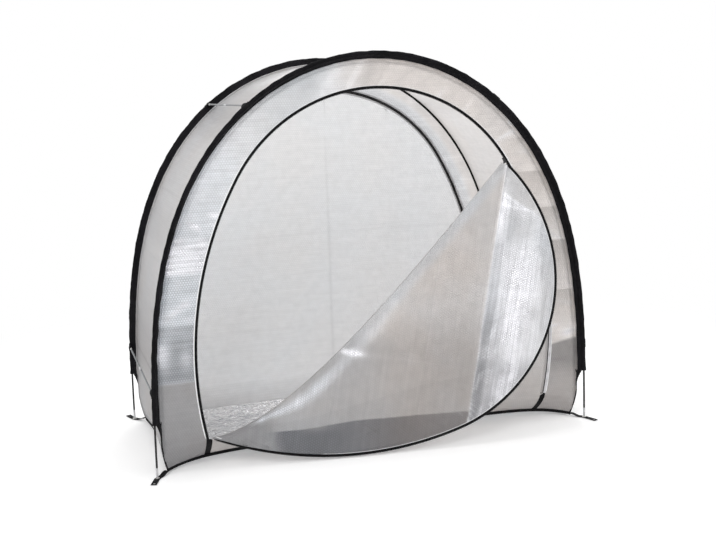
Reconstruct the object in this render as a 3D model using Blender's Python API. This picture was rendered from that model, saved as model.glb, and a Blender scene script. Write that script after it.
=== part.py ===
# Frost protection tent: two bent sectional poles in fabric sleeves carry a bubble film cover.
# The front wall has a zip door whose free half hangs folded outward over the fixed half.
# Metres, +Z up, +X across the door, +Y from the front wall to the back wall.
# The origin is on the ground, under the middle of the tent.

import math

import bmesh
import bpy
import numpy as np
from mathutils import Matrix, Vector

# Frame: two arches, four spacer struts
ARCH_HEIGHT = 1.80            # ground to the pole's centre line at the crown
FOOT_SPACING = 2.11           # left pole foot to right pole foot
POLE_SPACING = 0.893          # front pole plane to back pole plane
CROWN_BEND = 1.29             # how strongly the pole's bend gathers at the crown
SECTION_COUNT = 7             # tube sections that plug together into one pole
STATIONS_PER_SECTION = 6
POLE_RADIUS = 0.00475
POLE_FERRULE_WALL = 0.0007
POLE_FERRULE_LENGTH = 0.070
TIP_HEIGHT = 0.050            # metal foot tip under each pole end
TIP_RADIUS = 0.0053
SPIGOT_RADIUS = 0.0038        # thin lower end of the tip, through the eyelet
SPIGOT_HEIGHT = 0.010
STRUT_RADIUS = 0.0040
STRUT_LOW_HEIGHT = 0.382
STRUT_HIGH_DROP = 0.212       # the upper struts lie this much below the crown
STRUT_OFFSET = 0.005          # strut's centre line outside the pole's centre line
STRUT_TIP_RADIUS = 0.0049
STRUT_TIP_LENGTH = 0.030
STRUT_FERRULE_LENGTH = 0.050
STRUT_FERRULE_WALL = 0.0007
POCKET_DEPTH = 0.022
POCKET_WALL = 0.0022

# Sleeves and cover
SLEEVE_WIDTH = 0.040          # pole's centre line to the seam
SLEEVE_WALL = 0.0010
SLEEVE_FLAT = 0.0030          # thickness of the flat seam strip
SLEEVE_END_HEIGHT = 0.243     # the sleeves stop here, above bare pole
FILM = 0.004                  # bubble film thickness
ROOF_SAG = 0.014              # film hangs in between the two arches
HEM_HEIGHT = 0.022            # film's lower edge at the corners
HEM_RISE = 0.028              # and how much higher it is in the middle of a wall
HEM_DEPTH = 0.016             # height of the hem binding
HEM_THICKNESS = 0.005
CORNER_TUCK = 0.022           # how far the corners are drawn in at the hem
WALL_BOW = 0.137              # how far the end wall's hem is slack and bows in
SIDE_BOW = 0.025              # the same for the long sides
SEAM_BAND = 0.010             # level band of the roof film beside each seam
TUNNEL_BAYS = 4
FLOOR_THICKNESS = 0.002
FLOOR_BORDER = 0.070          # width of the floor sheet's turned-up border

# Zip door, the same outline in both end walls
TOP_BORDER = 0.156            # pole's centre line down to the zip's highest point
DOOR_SILL = 0.142             # ground to the zip's lower ends
DOOR_SHIFT = 0.012            # the door sits slightly right of the middle
CROWN_RADIUS = 0.740
CROWN_HALF_ANGLE = 60.0
SIDE_RADIUS = 1.621
CROWN_SEGMENTS = 40
SIDE_SEGMENTS = 8
ZIP_SLOT = 0.0030             # between the two zip tapes, where the teeth run
TAPE_WIDTH = 0.0120
TAPE_THICKNESS = 0.0020
ZIP_DROP = 0.003              # below the zip's ends the tapes join after this much more

# Free half of the front door
FRONT_SLIDER_ANGLE = 57.8     # where the front slider stands, from the crown towards the right
BACK_SLIDER_ANGLE = 28.0
FLAP_TILT = 12.5              # the open flap stands off the wall by this angle
FOLD_LOW_HANDLE = 0.29        # the fold leaves the sill level
FOLD_HIGH_HANDLE = 1.06       # and climbs to the slider
FOLD_HIGH_ANGLE = 46.9
FOLD_STANDOFF = 0.0023        # hinge line in front of the film's middle
ZIP_END_CLEARANCE = 0.021     # bare stretch of zip on each side of the slider
FLAP_COLUMNS = 8
FLAP_CREASE_DEPTH = 0.016
FLAP_CREASE_WIDTH = 0.060
FLAP_CREASE_X = 0.560         # where the upright crease crosses FLAP_CREASE_Z
FLAP_CREASE_Z = 0.720
FLAP_CREASE_LEAN = 0.10

# Sliders and pulls
SLIDER_LENGTH = 0.026
SLIDER_WIDTH = 0.011
SLIDER_PLATE = 0.0015
SLIDER_WEB = 0.0018
EAR_GAP = 0.0064
EAR_THICKNESS = 0.0014
EAR_LENGTH = 0.0060
PIN_HEIGHT = 0.0056           # pin's centre line from the film's middle
PIN_RADIUS = 0.0010
KNUCKLE_RADIUS = 0.0023
PULL_WIDTH = 0.0056
PULL_LENGTH = 0.036
PULL_THICKNESS = 0.0014

# Corner straps and eyelets
STRAP_WIDTH = 0.022
STRAP_THICKNESS = 0.0020
STRAP_LIFT = 0.0018           # ground to the strap's underside
STRAP_TAIL = 0.075            # eyelet to the peg loop's far end
STRAP_TAIL_ANGLE = 70.0       # tail's direction, from the X axis
PEG_HOLE_RADIUS = 0.0060
PEG_HOLE_INSET = 0.014
EYELET_BORE = 0.0042
EYELET_BARREL = 0.0065
EYELET_FLANGE = 0.0100
EYELET_FLANGE_THICKNESS = 0.0008

GAP = 0.0003                  # between pieces that touch
SLIDING_GAP = 0.00035

ROUND_SIDES = 8
TURNED_SIDES = 12

DOOR_TOP = ARCH_HEIGHT - TOP_BORDER
FRONT_PLANE = -POLE_SPACING / 2
BACK_PLANE = POLE_SPACING / 2
SEAM_INSET = SLEEVE_WIDTH * math.sin(math.radians(45))
WALL_OFFSET = BACK_PLANE - SEAM_INSET
TAPE_EDGE = ZIP_SLOT / 2 + TAPE_WIDTH


# Scene and object helpers

def clear_scene():
    for old in list(bpy.data.objects):
        bpy.data.objects.remove(old, do_unlink=True)


def material(name, color, roughness, metallic=0.0):
    found = bpy.data.materials.get(name)
    if found:
        return found
    made = bpy.data.materials.new(name)
    made.use_nodes = True
    shader = made.node_tree.nodes["Principled BSDF"]
    shader.inputs["Base Color"].default_value = (*color, 1.0)
    shader.inputs["Roughness"].default_value = roughness
    shader.inputs["Metallic"].default_value = metallic
    made.diffuse_color = (*color, 1.0)
    return made


def black_fabric():
    return material("black_fabric", (0.012, 0.012, 0.014), 0.85)


def bubble_film():
    return material("bubble_film", (0.62, 0.63, 0.62), 0.35, 0.25)


def silver_foil():
    return material("silver_foil", (0.70, 0.70, 0.71), 0.25, 0.8)


def pole_tube():
    return material("pole_tube", (0.03, 0.03, 0.035), 0.45)


def strut_tube():
    return material("strut_tube", (0.30, 0.31, 0.32), 0.5)


def bright_metal():
    return material("bright_metal", (0.66, 0.66, 0.67), 0.3, 1.0)


def black_metal():
    return material("black_metal", (0.03, 0.03, 0.03), 0.4, 0.6)


def light_plastic():
    return material("light_plastic", (0.72, 0.72, 0.70), 0.5)


def add_object(name, verts, faces, surface, smooth_angle=None):
    mesh = bpy.data.meshes.new(name)
    mesh.from_pydata([tuple(map(float, v)) for v in verts], [], faces)
    work = bmesh.new()
    work.from_mesh(mesh)
    bmesh.ops.recalc_face_normals(work, faces=work.faces)
    work.to_mesh(mesh)
    work.free()
    if smooth_angle:
        mesh.shade_smooth()
        mesh.set_sharp_from_angle(angle=math.radians(smooth_angle))
    mesh.materials.append(surface)
    made = bpy.data.objects.new(name, mesh)
    bpy.context.collection.objects.link(made)
    return made


def add_axis(name, point, direction):
    empty = bpy.data.objects.new(name, None)
    empty.empty_display_type = "SINGLE_ARROW"
    empty.empty_display_size = 0.2
    turn = Vector(direction).to_track_quat("Z", "Y")
    empty.matrix_world = Matrix.Translation(Vector(point)) @ turn.to_matrix().to_4x4()
    bpy.context.collection.objects.link(empty)
    return empty


def hang_on(piece, empty):
    """Moves the piece's origin to the joint's empty; the piece stays where it is."""
    bpy.context.view_layer.update()
    piece.data.transform(empty.matrix_world.inverted())
    piece.parent = empty


def cut_with(piece, cutter):
    cutter.hide_render = True
    cutter.display_type = "WIRE"
    cut = piece.modifiers.new("hole", "BOOLEAN")
    cut.operation = "DIFFERENCE"
    cut.solver = "EXACT"
    cut.object = cutter


def join_with(piece, other):
    other.hide_render = True
    other.display_type = "WIRE"
    merge = piece.modifiers.new("join", "BOOLEAN")
    merge.operation = "UNION"
    merge.solver = "EXACT"
    merge.object = other


# Shared shapes

def thicken(count, faces, place):
    """Closed sheet: place(i, side) puts point i on its face at side -0.5 or +0.5 of the thickness."""
    verts = [place(i, -0.5) for i in range(count)] + [place(i, 0.5) for i in range(count)]
    solid = [tuple(face) for face in faces]
    solid += [tuple(count + i for i in reversed(face)) for face in faces]
    used = {}
    for face in faces:
        for a, b in zip(face, face[1:] + face[:1]):
            key = (min(a, b), max(a, b))
            used[key] = None if key in used else (a, b)
    for edge in used.values():
        if edge:
            a, b = edge
            solid.append((b, a, count + a, count + b))
    return verts, solid


def grid_faces(rows, columns):
    return [[r * columns + c, r * columns + c + 1, (r + 1) * columns + c + 1, (r + 1) * columns + c]
            for r in range(rows - 1) for c in range(columns - 1)]


def loft(rings):
    """Solid bar through closed rings of equal length, with flat ends."""
    count = len(rings[0])
    verts = [point for ring in rings for point in ring]
    faces = []
    for r in range(len(rings) - 1):
        for i in range(count):
            j = (i + 1) % count
            faces.append((r * count + i, r * count + j, (r + 1) * count + j, (r + 1) * count + i))
    faces.append(tuple(reversed(range(count))))
    faces.append(tuple(range((len(rings) - 1) * count, len(rings) * count)))
    return verts, faces


def loft_tube(outer_rings, inner_rings):
    """Open tube: outer and inner rings of equal length, joined by flat end rings."""
    count = len(outer_rings[0])
    steps = len(outer_rings)
    verts = [p for ring in outer_rings for p in ring] + [p for ring in inner_rings for p in ring]
    shift = steps * count
    faces = []
    for i in range(count):
        j = (i + 1) % count
        for r in range(steps - 1):
            low, high = r * count, (r + 1) * count
            faces.append((low + i, low + j, high + j, high + i))
            faces.append((shift + low + j, shift + low + i, shift + high + i, shift + high + j))
        end = (steps - 1) * count
        faces.append((j, i, shift + i, shift + j))
        faces.append((end + i, end + j, shift + end + j, shift + end + i))
    return verts, faces


def circle(radius, sides, turn=0.5):
    angles = [2 * math.pi * (k + turn) / sides for k in range(sides)]
    return [(radius * math.cos(a), radius * math.sin(a)) for a in angles]


def turned(profile, sides, place):
    """Solid of revolution from (radius, height) pairs; place(x, y, height) gives the point."""
    rings = [[place(x, y, height) for x, y in circle(radius, sides)] for radius, height in profile]
    return loft(rings)


def turned_ring(profile, sides, place):
    """Closed ring of revolution: the (radius, height) profile runs round the metal's section."""
    count = len(profile)
    verts = []
    for k in range(sides):
        angle = 2 * math.pi * (k + 0.5) / sides
        verts += [place(r * math.cos(angle), r * math.sin(angle), h) for r, h in profile]
    faces = []
    for k in range(sides):
        nxt = (k + 1) % sides
        for i in range(count):
            j = (i + 1) % count
            faces.append((k * count + i, k * count + j, nxt * count + j, nxt * count + i))
    return verts, faces


def box(low, high):
    (x0, y0, z0), (x1, y1, z1) = low, high
    verts = [(x, y, z) for z in (z0, z1) for x, y in ((x0, y0), (x1, y0), (x1, y1), (x0, y1))]
    faces = [(3, 2, 1, 0), (4, 5, 6, 7), (0, 1, 5, 4), (1, 2, 6, 5), (2, 3, 7, 6), (3, 0, 4, 7)]
    return verts, faces


# The bent pole's curve, shared by everything that follows an arch

def bend(total_turn, samples=1201):
    """Curve of unit length whose bend gathers at its middle; starts and ends at half the turn."""
    s = np.linspace(0.0, 1.0, samples)
    curvature = np.sin(math.pi * s) ** CROWN_BEND
    steps = np.concatenate([[0.0], np.cumsum((curvature[1:] + curvature[:-1]) / 2)])
    heading = total_turn / 2 - total_turn * steps / steps[-1]
    ds = 1.0 / (samples - 1)
    x = np.concatenate([[0.0], np.cumsum((np.cos(heading[1:]) + np.cos(heading[:-1])) / 2)]) * ds
    z = np.concatenate([[0.0], np.cumsum((np.sin(heading[1:]) + np.sin(heading[:-1])) / 2)]) * ds
    return s, x, z, heading


def arch_stations():
    """Points and outward normals of the pole's centre line at evenly spaced stations."""
    low, high = 0.6 * math.pi, 1.4 * math.pi
    for _ in range(40):
        turn = (low + high) / 2
        s, x, z, heading = bend(turn)
        if x[-1] / z.max() > FOOT_SPACING / ARCH_HEIGHT:
            low = turn
        else:
            high = turn
    scale = ARCH_HEIGHT / z.max()
    station = np.linspace(0.0, 1.0, SECTION_COUNT * STATIONS_PER_SECTION + 1)
    px = np.interp(station, s, x) * scale
    pz = np.interp(station, s, z) * scale
    angle = np.interp(station, s, heading)
    points = np.stack([px - px[-1] / 2, pz], axis=1)
    normals = np.stack([-np.sin(angle), np.cos(angle)], axis=1)
    return station, points, normals, scale


STATION, ARCH_POINTS, ARCH_NORMALS, ARCH_LENGTH = arch_stations()


def on_arch(s, outward):
    """(x, z) at fraction s of the pole's length, moved outward; straight between stations."""
    place = min(max(s, 0.0), 1.0) * (len(STATION) - 1)
    k = min(int(place), len(STATION) - 2)
    part = place - k
    a = ARCH_POINTS[k] + outward * ARCH_NORMALS[k]
    b = ARCH_POINTS[k + 1] + outward * ARCH_NORMALS[k + 1]
    return a + (b - a) * part


def arch_at_height(height, outward=0.0):
    """Fraction of the pole's length where its left leg reaches the height."""
    low, high = 0.0, 0.5
    for _ in range(40):
        mid = (low + high) / 2
        if on_arch(mid, outward)[1] < height:
            low = mid
        else:
            high = mid
    return (low + high) / 2


def stations_between(start, end):
    inner = [s for s in STATION if start + 1e-4 < s < end - 1e-4]
    return [start] + inner + [end]


def arch_ring(s, plane, section):
    """A section's ring at s: section holds (outward, along y) pairs round the pole's centre."""
    ring = []
    for outward, y in section:
        x, z = on_arch(s, outward)
        ring.append((x, plane + y, z))
    return ring


# Poles

def pole_sections(side, plane):
    """Seven bent tubes; each but the last carries the fixed ferrule that takes in the next one."""
    gap = GAP / ARCH_LENGTH
    half = POLE_FERRULE_LENGTH / 2 / ARCH_LENGTH
    foot = arch_at_height(TIP_HEIGHT + GAP)
    tube = circle(POLE_RADIUS, ROUND_SIDES)
    bore = circle(POLE_RADIUS + SLIDING_GAP, ROUND_SIDES)
    ferrule = circle(POLE_RADIUS + SLIDING_GAP + POLE_FERRULE_WALL, ROUND_SIDES)
    for k in range(SECTION_COUNT):
        start = k / SECTION_COUNT + gap if k else foot
        end = (k + 1) / SECTION_COUNT
        if k < SECTION_COUNT - 1:
            run = [(s, tube) for s in stations_between(start, end - half)]
            run += [(s, ferrule) for s in (end - half, end, end + half)]
            run += [(s, bore) for s in (end + half, end)]
        else:
            run = [(s, tube) for s in stations_between(start, 1.0 - foot)]
        rings = [arch_ring(s, plane, section) for s, section in run]
        add_object(f"{side}_pole_{k + 1}", *loft(rings), pole_tube(), 40)


def foot_points():
    for end, y in (("front", FRONT_PLANE), ("back", BACK_PLANE)):
        for hand, x in (("left", -FOOT_SPACING / 2), ("right", FOOT_SPACING / 2)):
            yield f"{end}_{hand}", x, y


def pole_tips():
    chamfer = 0.0006
    profile = [(SPIGOT_RADIUS - 2 * chamfer, 0.0),
               (SPIGOT_RADIUS, 2 * chamfer),
               (SPIGOT_RADIUS, SPIGOT_HEIGHT),
               (TIP_RADIUS, SPIGOT_HEIGHT + 2 * chamfer),
               (TIP_RADIUS, TIP_HEIGHT - chamfer),
               (TIP_RADIUS - chamfer, TIP_HEIGHT)]
    for place, x, y in foot_points():
        tip = turned(profile, TURNED_SIDES, lambda u, v, h, x=x, y=y: (x + u, y + v, h))
        add_object(f"pole_tip_{place}", *tip, bright_metal(), 35)


# Spacer struts between the two arches

def strut_places():
    for level, height in (("low", STRUT_LOW_HEIGHT), ("high", ARCH_HEIGHT - STRUT_HIGH_DROP)):
        left = arch_at_height(height)
        for hand, s in (("left", left), ("right", 1.0 - left)):
            x, z = on_arch(s, STRUT_OFFSET)
            yield f"{level}_{hand}", x, z


def along_y(x, z):
    return lambda u, v, h: (x + u, h, z + v)


def strut_ends():
    """Distances from the pole's plane: pocket's base, pocket's floor, rod's end, pocket's mouth."""
    base = sleeve_bore() + SLEEVE_WALL / 4
    floor = base + POCKET_WALL
    return base, floor, floor + GAP, floor + POCKET_DEPTH


def struts():
    """Each strut is two rods with plastic ends; the front rod's fixed ferrule takes in the back rod."""
    edge = BACK_PLANE - strut_ends()[2]
    tip_end = edge - STRUT_TIP_LENGTH
    half = STRUT_FERRULE_LENGTH / 2
    bore = STRUT_RADIUS + SLIDING_GAP
    tip = [(STRUT_TIP_RADIUS, edge), (STRUT_TIP_RADIUS, tip_end)]
    plain = tip + [(STRUT_RADIUS, tip_end), (STRUT_RADIUS, GAP)]
    socket = tip + [(STRUT_RADIUS, tip_end), (STRUT_RADIUS, half), (bore + STRUT_FERRULE_WALL, half),
                    (bore + STRUT_FERRULE_WALL, -half), (bore, -half), (bore, 0.0)]
    for place, x, z in strut_places():
        for end, sign, profile in (("front", -1, socket), ("back", 1, plain)):
            rod = turned([(radius, sign * y) for radius, y in profile], ROUND_SIDES, along_y(x, z))
            add_object(f"strut_{place}_{end}", *rod, strut_tube(), 40)


def strut_pockets(body, side, facing):
    """Four short round pockets on the sleeve, each holding the end of a strut."""
    base, floor, _, mouth = strut_ends()
    inner = STRUT_TIP_RADIUS + SLIDING_GAP
    for place, x, z in strut_places():
        pocket = cup(inner + POCKET_WALL, inner, *(facing * (BACK_PLANE - d) for d in (base, mouth, floor)),
                     along_y(x, z))
        join_with(body, add_object(f"{side}_pocket_{place}", *pocket, black_fabric()))


def cup(outer, inner, base, mouth, bottom, put):
    """Round pocket: closed at its base, open at its mouth."""
    profile = [(outer, base), (outer, mouth), (inner, mouth), (inner, bottom)]
    return turned(profile, ROUND_SIDES, put)


# Fabric sleeves on the arches

def sleeve_bore():
    return (POLE_RADIUS + 2 * SLIDING_GAP + POLE_FERRULE_WALL) / math.cos(math.pi / ROUND_SIDES)


def sleeve_outer_radius():
    return sleeve_bore() + SLEEVE_WALL


def sleeve_section(toward_middle):
    """Outer and inner outlines round the pole; the flat strip runs 45 degrees in to the seam."""
    bore, outer = sleeve_bore(), sleeve_outer_radius()
    reach = SLEEVE_WIDTH - GAP - FILM / 2
    half = SLEEVE_FLAT / 2
    outside = [(-outer * math.cos(math.radians(a)), outer * math.sin(math.radians(a)))
               for a in (-90, -45, 0, 45, 90)]
    outside += [(SLEEVE_WIDTH * 0.45, half), (reach, half), (reach, -half), (SLEEVE_WIDTH * 0.45, -half)]
    inside = [(-bore * math.cos(math.radians(a)), bore * math.sin(math.radians(a)))
              for a in (-90, -45, 0, 45, 90, 135, 177, 183, 225)]
    diagonal = math.sqrt(0.5)

    def turn_in(points):
        return [(-diagonal * (u - w), toward_middle * diagonal * (u + w)) for u, w in points]

    return turn_in(outside), turn_in(inside)


def sleeve(side, plane, toward_middle):
    start = arch_at_height(SLEEVE_END_HEIGHT)
    outside, inside = sleeve_section(toward_middle)
    cuts = stations_between(start, 1.0 - start)
    body = loft_tube([arch_ring(s, plane, outside) for s in cuts],
                     [arch_ring(s, plane, inside) for s in cuts])
    fabric = add_object(f"{side}_sleeve", *body, black_fabric(), 50)
    strut_pockets(fabric, side, -toward_middle)


# Cover: where the film runs

def skirt(z):
    """0 above the sill, 1 at the corner hem: how much of the tuck and bow has come in."""
    part = (DOOR_SILL - z) / (DOOR_SILL - HEM_HEIGHT)
    return min(max(part, 0.0), 1.0) ** 1.5


def corner_x():
    """Half width of the cover's outside at the hem."""
    return abs(on_arch(arch_at_height(HEM_HEIGHT), -SEAM_INSET - CORNER_TUCK)[0])


def slack(x):
    """Share of the end wall's bow at x: none at the corners, nearly all of it between them."""
    return 1.0 - min(abs(x) / corner_x(), 1.0) ** 6


def wall_inset(x, z):
    """How far the end wall's middle surface lies inside its flat upper part."""
    return skirt(z) * (CORNER_TUCK + WALL_BOW * slack(x))


def hem_z(x):
    return HEM_HEIGHT + HEM_RISE * slack(x)


def cover_cuts():
    """Fractions of the arch where the cover has points: hem, skirt, sill, then the stations."""
    low = [arch_at_height(z) for z in (HEM_HEIGHT, (HEM_HEIGHT + DOOR_SILL) / 2, DOOR_SILL)]
    upper = [s for s in STATION if low[-1] + 0.004 < s < 1.0 - low[-1] - 0.004]
    return low + upper + [1.0 - s for s in reversed(low)]


def cover_edge(s, depth):
    """(x, z) of the cover at s, depth inside its outer face, with the corner tuck."""
    z = on_arch(s, 0.0)[1]
    return on_arch(s, -SEAM_INSET - depth - CORNER_TUCK * skirt(z))


def depth_shares():
    """(share, hollow) across the depth: level at both seams, hanging in most in the middle."""
    seam = SEAM_BAND / (2 * WALL_OFFSET)
    inner = [k / TUNNEL_BAYS for k in range(TUNNEL_BAYS + 1)]
    shares = [(seam + (1 - 2 * seam) * u, 4 * u * (1 - u)) for u in inner]
    return [(0.0, 0.0), *shares, (1.0, 0.0)]


def tunnel_cover():
    cuts = cover_cuts()
    shares = depth_shares()
    columns = len(shares)

    def place(i, side):
        s, (v, hollow) = cuts[i // columns], shares[i % columns]
        z = on_arch(s, 0.0)[1]
        depth = FILM * (0.5 - side) + hollow * (ROOF_SAG * min(z / ARCH_HEIGHT, 1.0) + SIDE_BOW * skirt(z))
        x, z_out = cover_edge(s, depth)
        edge = WALL_OFFSET + FILM / 2 - CORNER_TUCK * skirt(z)
        return (x, edge * (2 * v - 1), z_out)

    body = thicken(len(cuts) * columns, grid_faces(len(cuts), columns), place)
    add_object("tunnel_cover", *body, bubble_film(), 60)


# The door's outline: one round crown and two flatter sides

def outline_stations():
    """Zip centre line from the left end over the crown to the right end, with outward normals."""
    half = math.radians(CROWN_HALF_ANGLE)
    crown_z = DOOR_TOP - CROWN_RADIUS
    away = np.array([math.sin(half), math.cos(half)])
    side_centre = np.array([0.0, crown_z]) - (SIDE_RADIUS - CROWN_RADIUS) * away
    foot = math.acos((DOOR_SILL - side_centre[1]) / SIDE_RADIUS)
    right = []
    for k in range(CROWN_SEGMENTS // 2 + 1):
        a = half * k / (CROWN_SEGMENTS // 2)
        right.append((CROWN_RADIUS * math.sin(a), crown_z + CROWN_RADIUS * math.cos(a), a))
    for k in range(1, SIDE_SEGMENTS + 1):
        a = half + (foot - half) * k / SIDE_SEGMENTS
        right.append((side_centre[0] + SIDE_RADIUS * math.sin(a),
                      side_centre[1] + SIDE_RADIUS * math.cos(a), a))
    whole = [(-x, z, -a) for x, z, a in reversed(right[1:])] + right
    points = np.array([(x + DOOR_SHIFT, z) for x, z, _ in whole])
    normals = np.array([(math.sin(a), math.cos(a)) for _, _, a in whole])
    angles = np.degrees([a for _, _, a in whole])
    return points, normals, angles


ZIP_POINTS, ZIP_NORMALS, ZIP_ANGLES = outline_stations()
ZIP_LAST = len(ZIP_POINTS) - 1
ZIP_RUN = np.concatenate([[0.0], np.cumsum(np.linalg.norm(np.diff(ZIP_POINTS, axis=0), axis=1))])


def on_zip(place, outward=0.0):
    """(x, z) at a station number, moved outward; straight between stations."""
    place = min(max(place, 0.0), float(ZIP_LAST))
    k = min(int(place), ZIP_LAST - 1)
    a = ZIP_POINTS[k] + outward * ZIP_NORMALS[k]
    b = ZIP_POINTS[k + 1] + outward * ZIP_NORMALS[k + 1]
    return a + (b - a) * (place - k)


def zip_place(angle):
    return float(np.interp(angle, ZIP_ANGLES, np.arange(ZIP_LAST + 1)))


def zip_shift(place, distance):
    """Station number a given distance further along the zip."""
    run = np.interp(place, np.arange(ZIP_LAST + 1), ZIP_RUN) + distance
    return float(np.interp(run, ZIP_RUN, np.arange(ZIP_LAST + 1)))


def zip_steps(start, end):
    return [start] + [k for k in range(ZIP_LAST + 1) if start + 0.02 < k < end - 0.02] + [end]


def crown_centre():
    return DOOR_SHIFT, DOOR_TOP - CROWN_RADIUS


# End wall surfaces: x and z in the wall, facing is -1 for the front wall and +1 for the back wall

def on_wall(x, z, side, thickness, facing):
    """Point of an end wall sheet at side -0.5 (inner) to +0.5 (outer) of its thickness."""
    return (x, facing * (WALL_OFFSET - wall_inset(x, z) + side * thickness), z)


def add_wall_sheet(name, points, faces, thickness, facing, surface):
    def place(i, side):
        x, z = points[i]
        return on_wall(x, z, side, thickness, facing)

    return add_object(name, *thicken(len(points), faces, place), surface)


def skirt_levels(x):
    """Heights of the skirt's rows at x: hem, middle, sill."""
    return [hem_z(x), (hem_z(x) + DOOR_SILL) / 2, DOOR_SILL]


def zip_foot(hand, outward):
    """(x, z) of a zip end, moved outward from the zip's centre line, level with the sill."""
    place = 0.0 if hand < 0 else float(ZIP_LAST)
    return on_zip(place)[0] + hand * outward, DOOR_SILL


def end_wall(side, facing):
    """The border of the end wall, an upturned U between the arch and the zip."""
    edge = [cover_edge(s, FILM + GAP) for s in cover_cuts()]
    zip_side = [on_zip(k, TAPE_EDGE + GAP) for k in zip_steps(0.0, float(ZIP_LAST))]
    points, faces = [], []
    start_left = zip_foot(-1, TAPE_EDGE + GAP)
    start_right = zip_foot(1, TAPE_EDGE + GAP)
    upper = list(edge[2:-2]) + [start_right] + list(reversed(zip_side[1:-1])) + [start_left]
    points += [tuple(p) for p in upper]
    faces.append(list(range(len(upper))))
    left_outer, right_outer = 0, len(edge[2:-2]) - 1
    right_inner, left_inner = right_outer + 1, len(upper) - 1
    for outer_rows, inner_x, top_outer, top_inner in (
            (edge[:2], start_left[0], left_outer, left_inner),
            (edge[-1:-3:-1], start_right[0], right_outer, right_inner)):
        levels = skirt_levels(inner_x)
        base = len(points)
        for row in range(2):
            points.append(tuple(outer_rows[row]))
            points.append((inner_x, levels[row]))
        faces.append([base, base + 1, base + 3, base + 2])
        faces.append([base + 2, base + 3, top_inner, top_outer])
    add_wall_sheet(f"{side}_wall", points, faces, FILM, facing, bubble_film())


def sill_grid(columns):
    """Points and faces of the sheet between the zip's ends, from the hem up to the sill line."""
    left = zip_foot(-1, -TAPE_EDGE - GAP)[0]
    right = zip_foot(1, -TAPE_EDGE - GAP)[0]
    across = [left + (right - left) * c / (columns - 1) for c in range(columns)]
    points = [(x, skirt_levels(x)[row]) for row in range(3) for x in across]
    return points, grid_faces(3, columns)


def back_door():
    columns = 13
    points, faces = sill_grid(columns)
    sill = list(range(2 * columns, 3 * columns))
    rim = [tuple(on_zip(k, -TAPE_EDGE - GAP)) for k in zip_steps(0.0, float(ZIP_LAST))[1:-1]]
    start = len(points)
    points += rim
    faces.append(sill + list(reversed(range(start, start + len(rim)))))
    add_wall_sheet("back_door", points, faces, FILM, 1, bubble_film())


# The front door's fold: the fixed half ends here and the free half hangs from it

def fold_ends():
    low = np.array(on_zip(0.0))
    high = np.array(on_zip(zip_place(FRONT_SLIDER_ANGLE)))
    return low, high


def fold_curve(t):
    low, high = fold_ends()
    climb = math.radians(FOLD_HIGH_ANGLE)
    first = low + np.array([FOLD_LOW_HANDLE, 0.0])
    second = high - FOLD_HIGH_HANDLE * np.array([math.cos(climb), math.sin(climb)])
    return ((1 - t) ** 3 * low + 3 * (1 - t) ** 2 * t * first
            + 3 * (1 - t) * t ** 2 * second + t ** 3 * high)


def fold_range():
    """The fold curve's part that has film: from beside the zip's end to short of the slider."""
    low, high = fold_ends()
    ts = np.linspace(0.0, 1.0, 801)
    xs = np.array([fold_curve(t) for t in ts])
    start = ts[np.argmax(xs[:, 0] > low[0] + TAPE_EDGE + GAP)]
    end = ts[np.argmax(np.linalg.norm(xs - high, axis=1) < ZIP_END_CLEARANCE)]
    return float(start), float(end)


def front_door():
    """Fixed half of the front door, under the fold, with the sill below the zip's ends."""
    columns = 13
    points, faces = sill_grid(columns)
    sill = list(range(2 * columns, 3 * columns))
    start_t, end_t = fold_range()
    count = 20
    edge = [tuple(fold_curve(start_t + (end_t - start_t) * k / count)) for k in range(1, count + 1)]
    below = zip_shift(zip_place(FRONT_SLIDER_ANGLE), ZIP_END_CLEARANCE)
    leg = [tuple(on_zip(k, -TAPE_EDGE - GAP)) for k in zip_steps(below, float(ZIP_LAST))[:-1]]
    first_edge = len(points)
    points += edge
    first_leg = len(points)
    points += leg
    faces.append(sill + list(reversed(range(first_leg, first_leg + len(leg))))
                 + list(reversed(range(first_edge, first_edge + len(edge)))))
    add_wall_sheet("front_door", points, faces, FILM, -1, bubble_film())


def flap_frame():
    """Hinge line of the free half: a point on it and its direction, from the slider to the sill."""
    low, high = fold_ends()
    y = -WALL_OFFSET - FOLD_STANDOFF
    point = Vector((low[0], y, low[1]))
    along = Vector((low[0] - high[0], 0.0, low[1] - high[1])).normalized()
    return point, along


def opened(x, y, z):
    """Where a point of the closed flap lies when the flap is open, as it is stored."""
    point, along = flap_frame()
    turn = Matrix.Rotation(-math.radians(180.0 - FLAP_TILT), 3, along)
    return turn @ (Vector((x, y, z)) - point) + point


def crease(x, z):
    """Upright crease in the hanging flap: a low ridge towards the viewer."""
    line = FLAP_CREASE_X - FLAP_CREASE_LEAN * (FLAP_CREASE_Z - z)
    return FLAP_CREASE_DEPTH * math.exp(-((x - line) / FLAP_CREASE_WIDTH) ** 2)


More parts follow.
